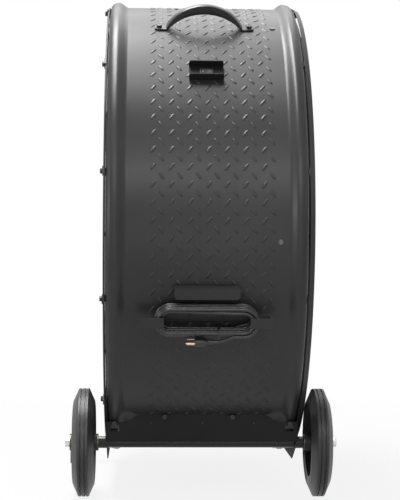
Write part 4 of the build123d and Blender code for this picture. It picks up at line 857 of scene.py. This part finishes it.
def white_share(tree):
    """Share of white on the floor: a little shadow near the fan, none far away."""
    coords = tree.nodes.new("ShaderNodeTexCoord")
    reach = tree.nodes.new("ShaderNodeVectorMath")
    reach.operation = "LENGTH"
    ramp = tree.nodes.new("ShaderNodeMapRange")
    ramp.interpolation_type = "SMOOTHSTEP"
    ramp.inputs["From Min"].default_value = SHADOW_NEAR
    ramp.inputs["From Max"].default_value = SHADOW_FAR
    ramp.inputs["To Min"].default_value = FLOOR_WHITE
    ramp.inputs["To Max"].default_value = 1.0
    tree.links.new(coords.outputs["Object"], reach.inputs[0])
    tree.links.new(reach.outputs["Value"], ramp.inputs["Value"])
    return ramp.outputs["Result"]


def pale_floor():
    """Floor that is nearly white to the camera and to reflections, and keeps its shadow."""
    mat, tree, shader = new_material("floor_pale", 0.9)
    mottle(tree, shader, grey(FLOOR_COLOUR * 0.98), grey(FLOOR_COLOUR), noise_node(tree, 1.2))
    bump(tree, shader, noise_node(tree, 60.0), 0.02, 0.5 * MM)
    glow = tree.nodes.new("ShaderNodeEmission")
    glow.inputs["Color"].default_value = WHITE
    glow.inputs["Strength"].default_value = 1.0
    share = tree.nodes.new("ShaderNodeMath")
    share.operation = "MULTIPLY"
    tree.links.new(seen_directly(tree), share.inputs[0])
    tree.links.new(white_share(tree), share.inputs[1])
    mix = tree.nodes.new("ShaderNodeMixShader")
    tree.links.new(share.outputs["Value"], mix.inputs["Fac"])
    tree.links.new(shader.outputs["BSDF"], mix.inputs[1])
    tree.links.new(glow.outputs["Emission"], mix.inputs[2])
    tree.links.new(mix.outputs["Shader"], tree.nodes["Material Output"].inputs["Surface"])
    return mat


def make_stage():
    """Plain pale floor."""
    bm = bmesh.new()
    bmesh.ops.create_grid(bm, x_segments=1, y_segments=1, size=FLOOR_SIZE)
    floor = finish_mesh("floor", bm)
    floor.data.materials.append(pale_floor())


def background(tree, strength):
    """White background shader of a given strength."""
    node = tree.nodes.new("ShaderNodeBackground")
    node.inputs["Color"].default_value = WHITE
    node.inputs["Strength"].default_value = strength
    return node.outputs["Background"]


def make_world():
    """Soft even studio light; the camera and reflections see a white background."""
    world = bpy.data.worlds.new("studio")
    bpy.context.scene.world = world
    world.use_nodes = True
    tree = world.node_tree
    tree.nodes.clear()
    out = tree.nodes.new("ShaderNodeOutputWorld")
    mix = tree.nodes.new("ShaderNodeMixShader")
    tree.links.new(seen_directly(tree), mix.inputs["Fac"])
    tree.links.new(background(tree, WORLD_LIGHT), mix.inputs[1])
    tree.links.new(background(tree, 1.0), mix.inputs[2])
    tree.links.new(mix.outputs["Shader"], out.inputs["Surface"])


FAN_MIDDLE = (0, 0, 0.7)
# Area lamps: name, place, aim, size across and up, power in watts.
LAMPS = [
    ("softbox_top", (-0.6, -0.25, 3.2), (-0.1, -0.25, 0.7), (2.2, 1.0), 150),
    ("softbox_back", (0, 1.2, 3.0), (0, 0.1, 0.7), (2.0, 2.0), 30),
    ("softbox_front", (0, -3.3, 2.1), FAN_MIDDLE, (2.8, 0.5), 32),
    ("strip_low", (0, -3.4, 0.36), (0, -0.3, 0.13), (2.6, 0.2), 7),
    ("softbox_left", (-3.0, -1.5, 1.05), FAN_MIDDLE, (1.3, 0.8), 24),
    ("softbox_right", (3.0, -2.2, 1.8), FAN_MIDDLE, (1.6, 1.6), 5),
]


def make_lights():
    """Softboxes above, behind, before and beside the fan, and a low strip for the wheels."""
    for name, spot, target, size, power in LAMPS:
        data = bpy.data.lights.new(name, "AREA")
        data.shape = "RECTANGLE"
        data.size, data.size_y = size
        data.energy = power
        lamp = bpy.data.objects.new(name, data)
        bpy.context.scene.collection.objects.link(lamp)
        aim = (Vector(target) - Vector(spot)).to_track_quat("-Z", "Y").to_matrix().to_4x4()
        lamp.matrix_world = Matrix.Translation(spot) @ aim


# ---------------------------------------------------------------- build
make_camera()
dress_nodes()
cord, cord_exit = make_cord()
plug = make_plug()
make_drum_skin()
make_tread_plate()
make_handle()
make_front_guard()
make_rear_guard()
make_tyre("front", -1)
make_tyre("rear", 1)
make_marks()
make_stage()
make_world()
make_lights()
bpy.context.scene.view_settings.view_transform = "Standard"
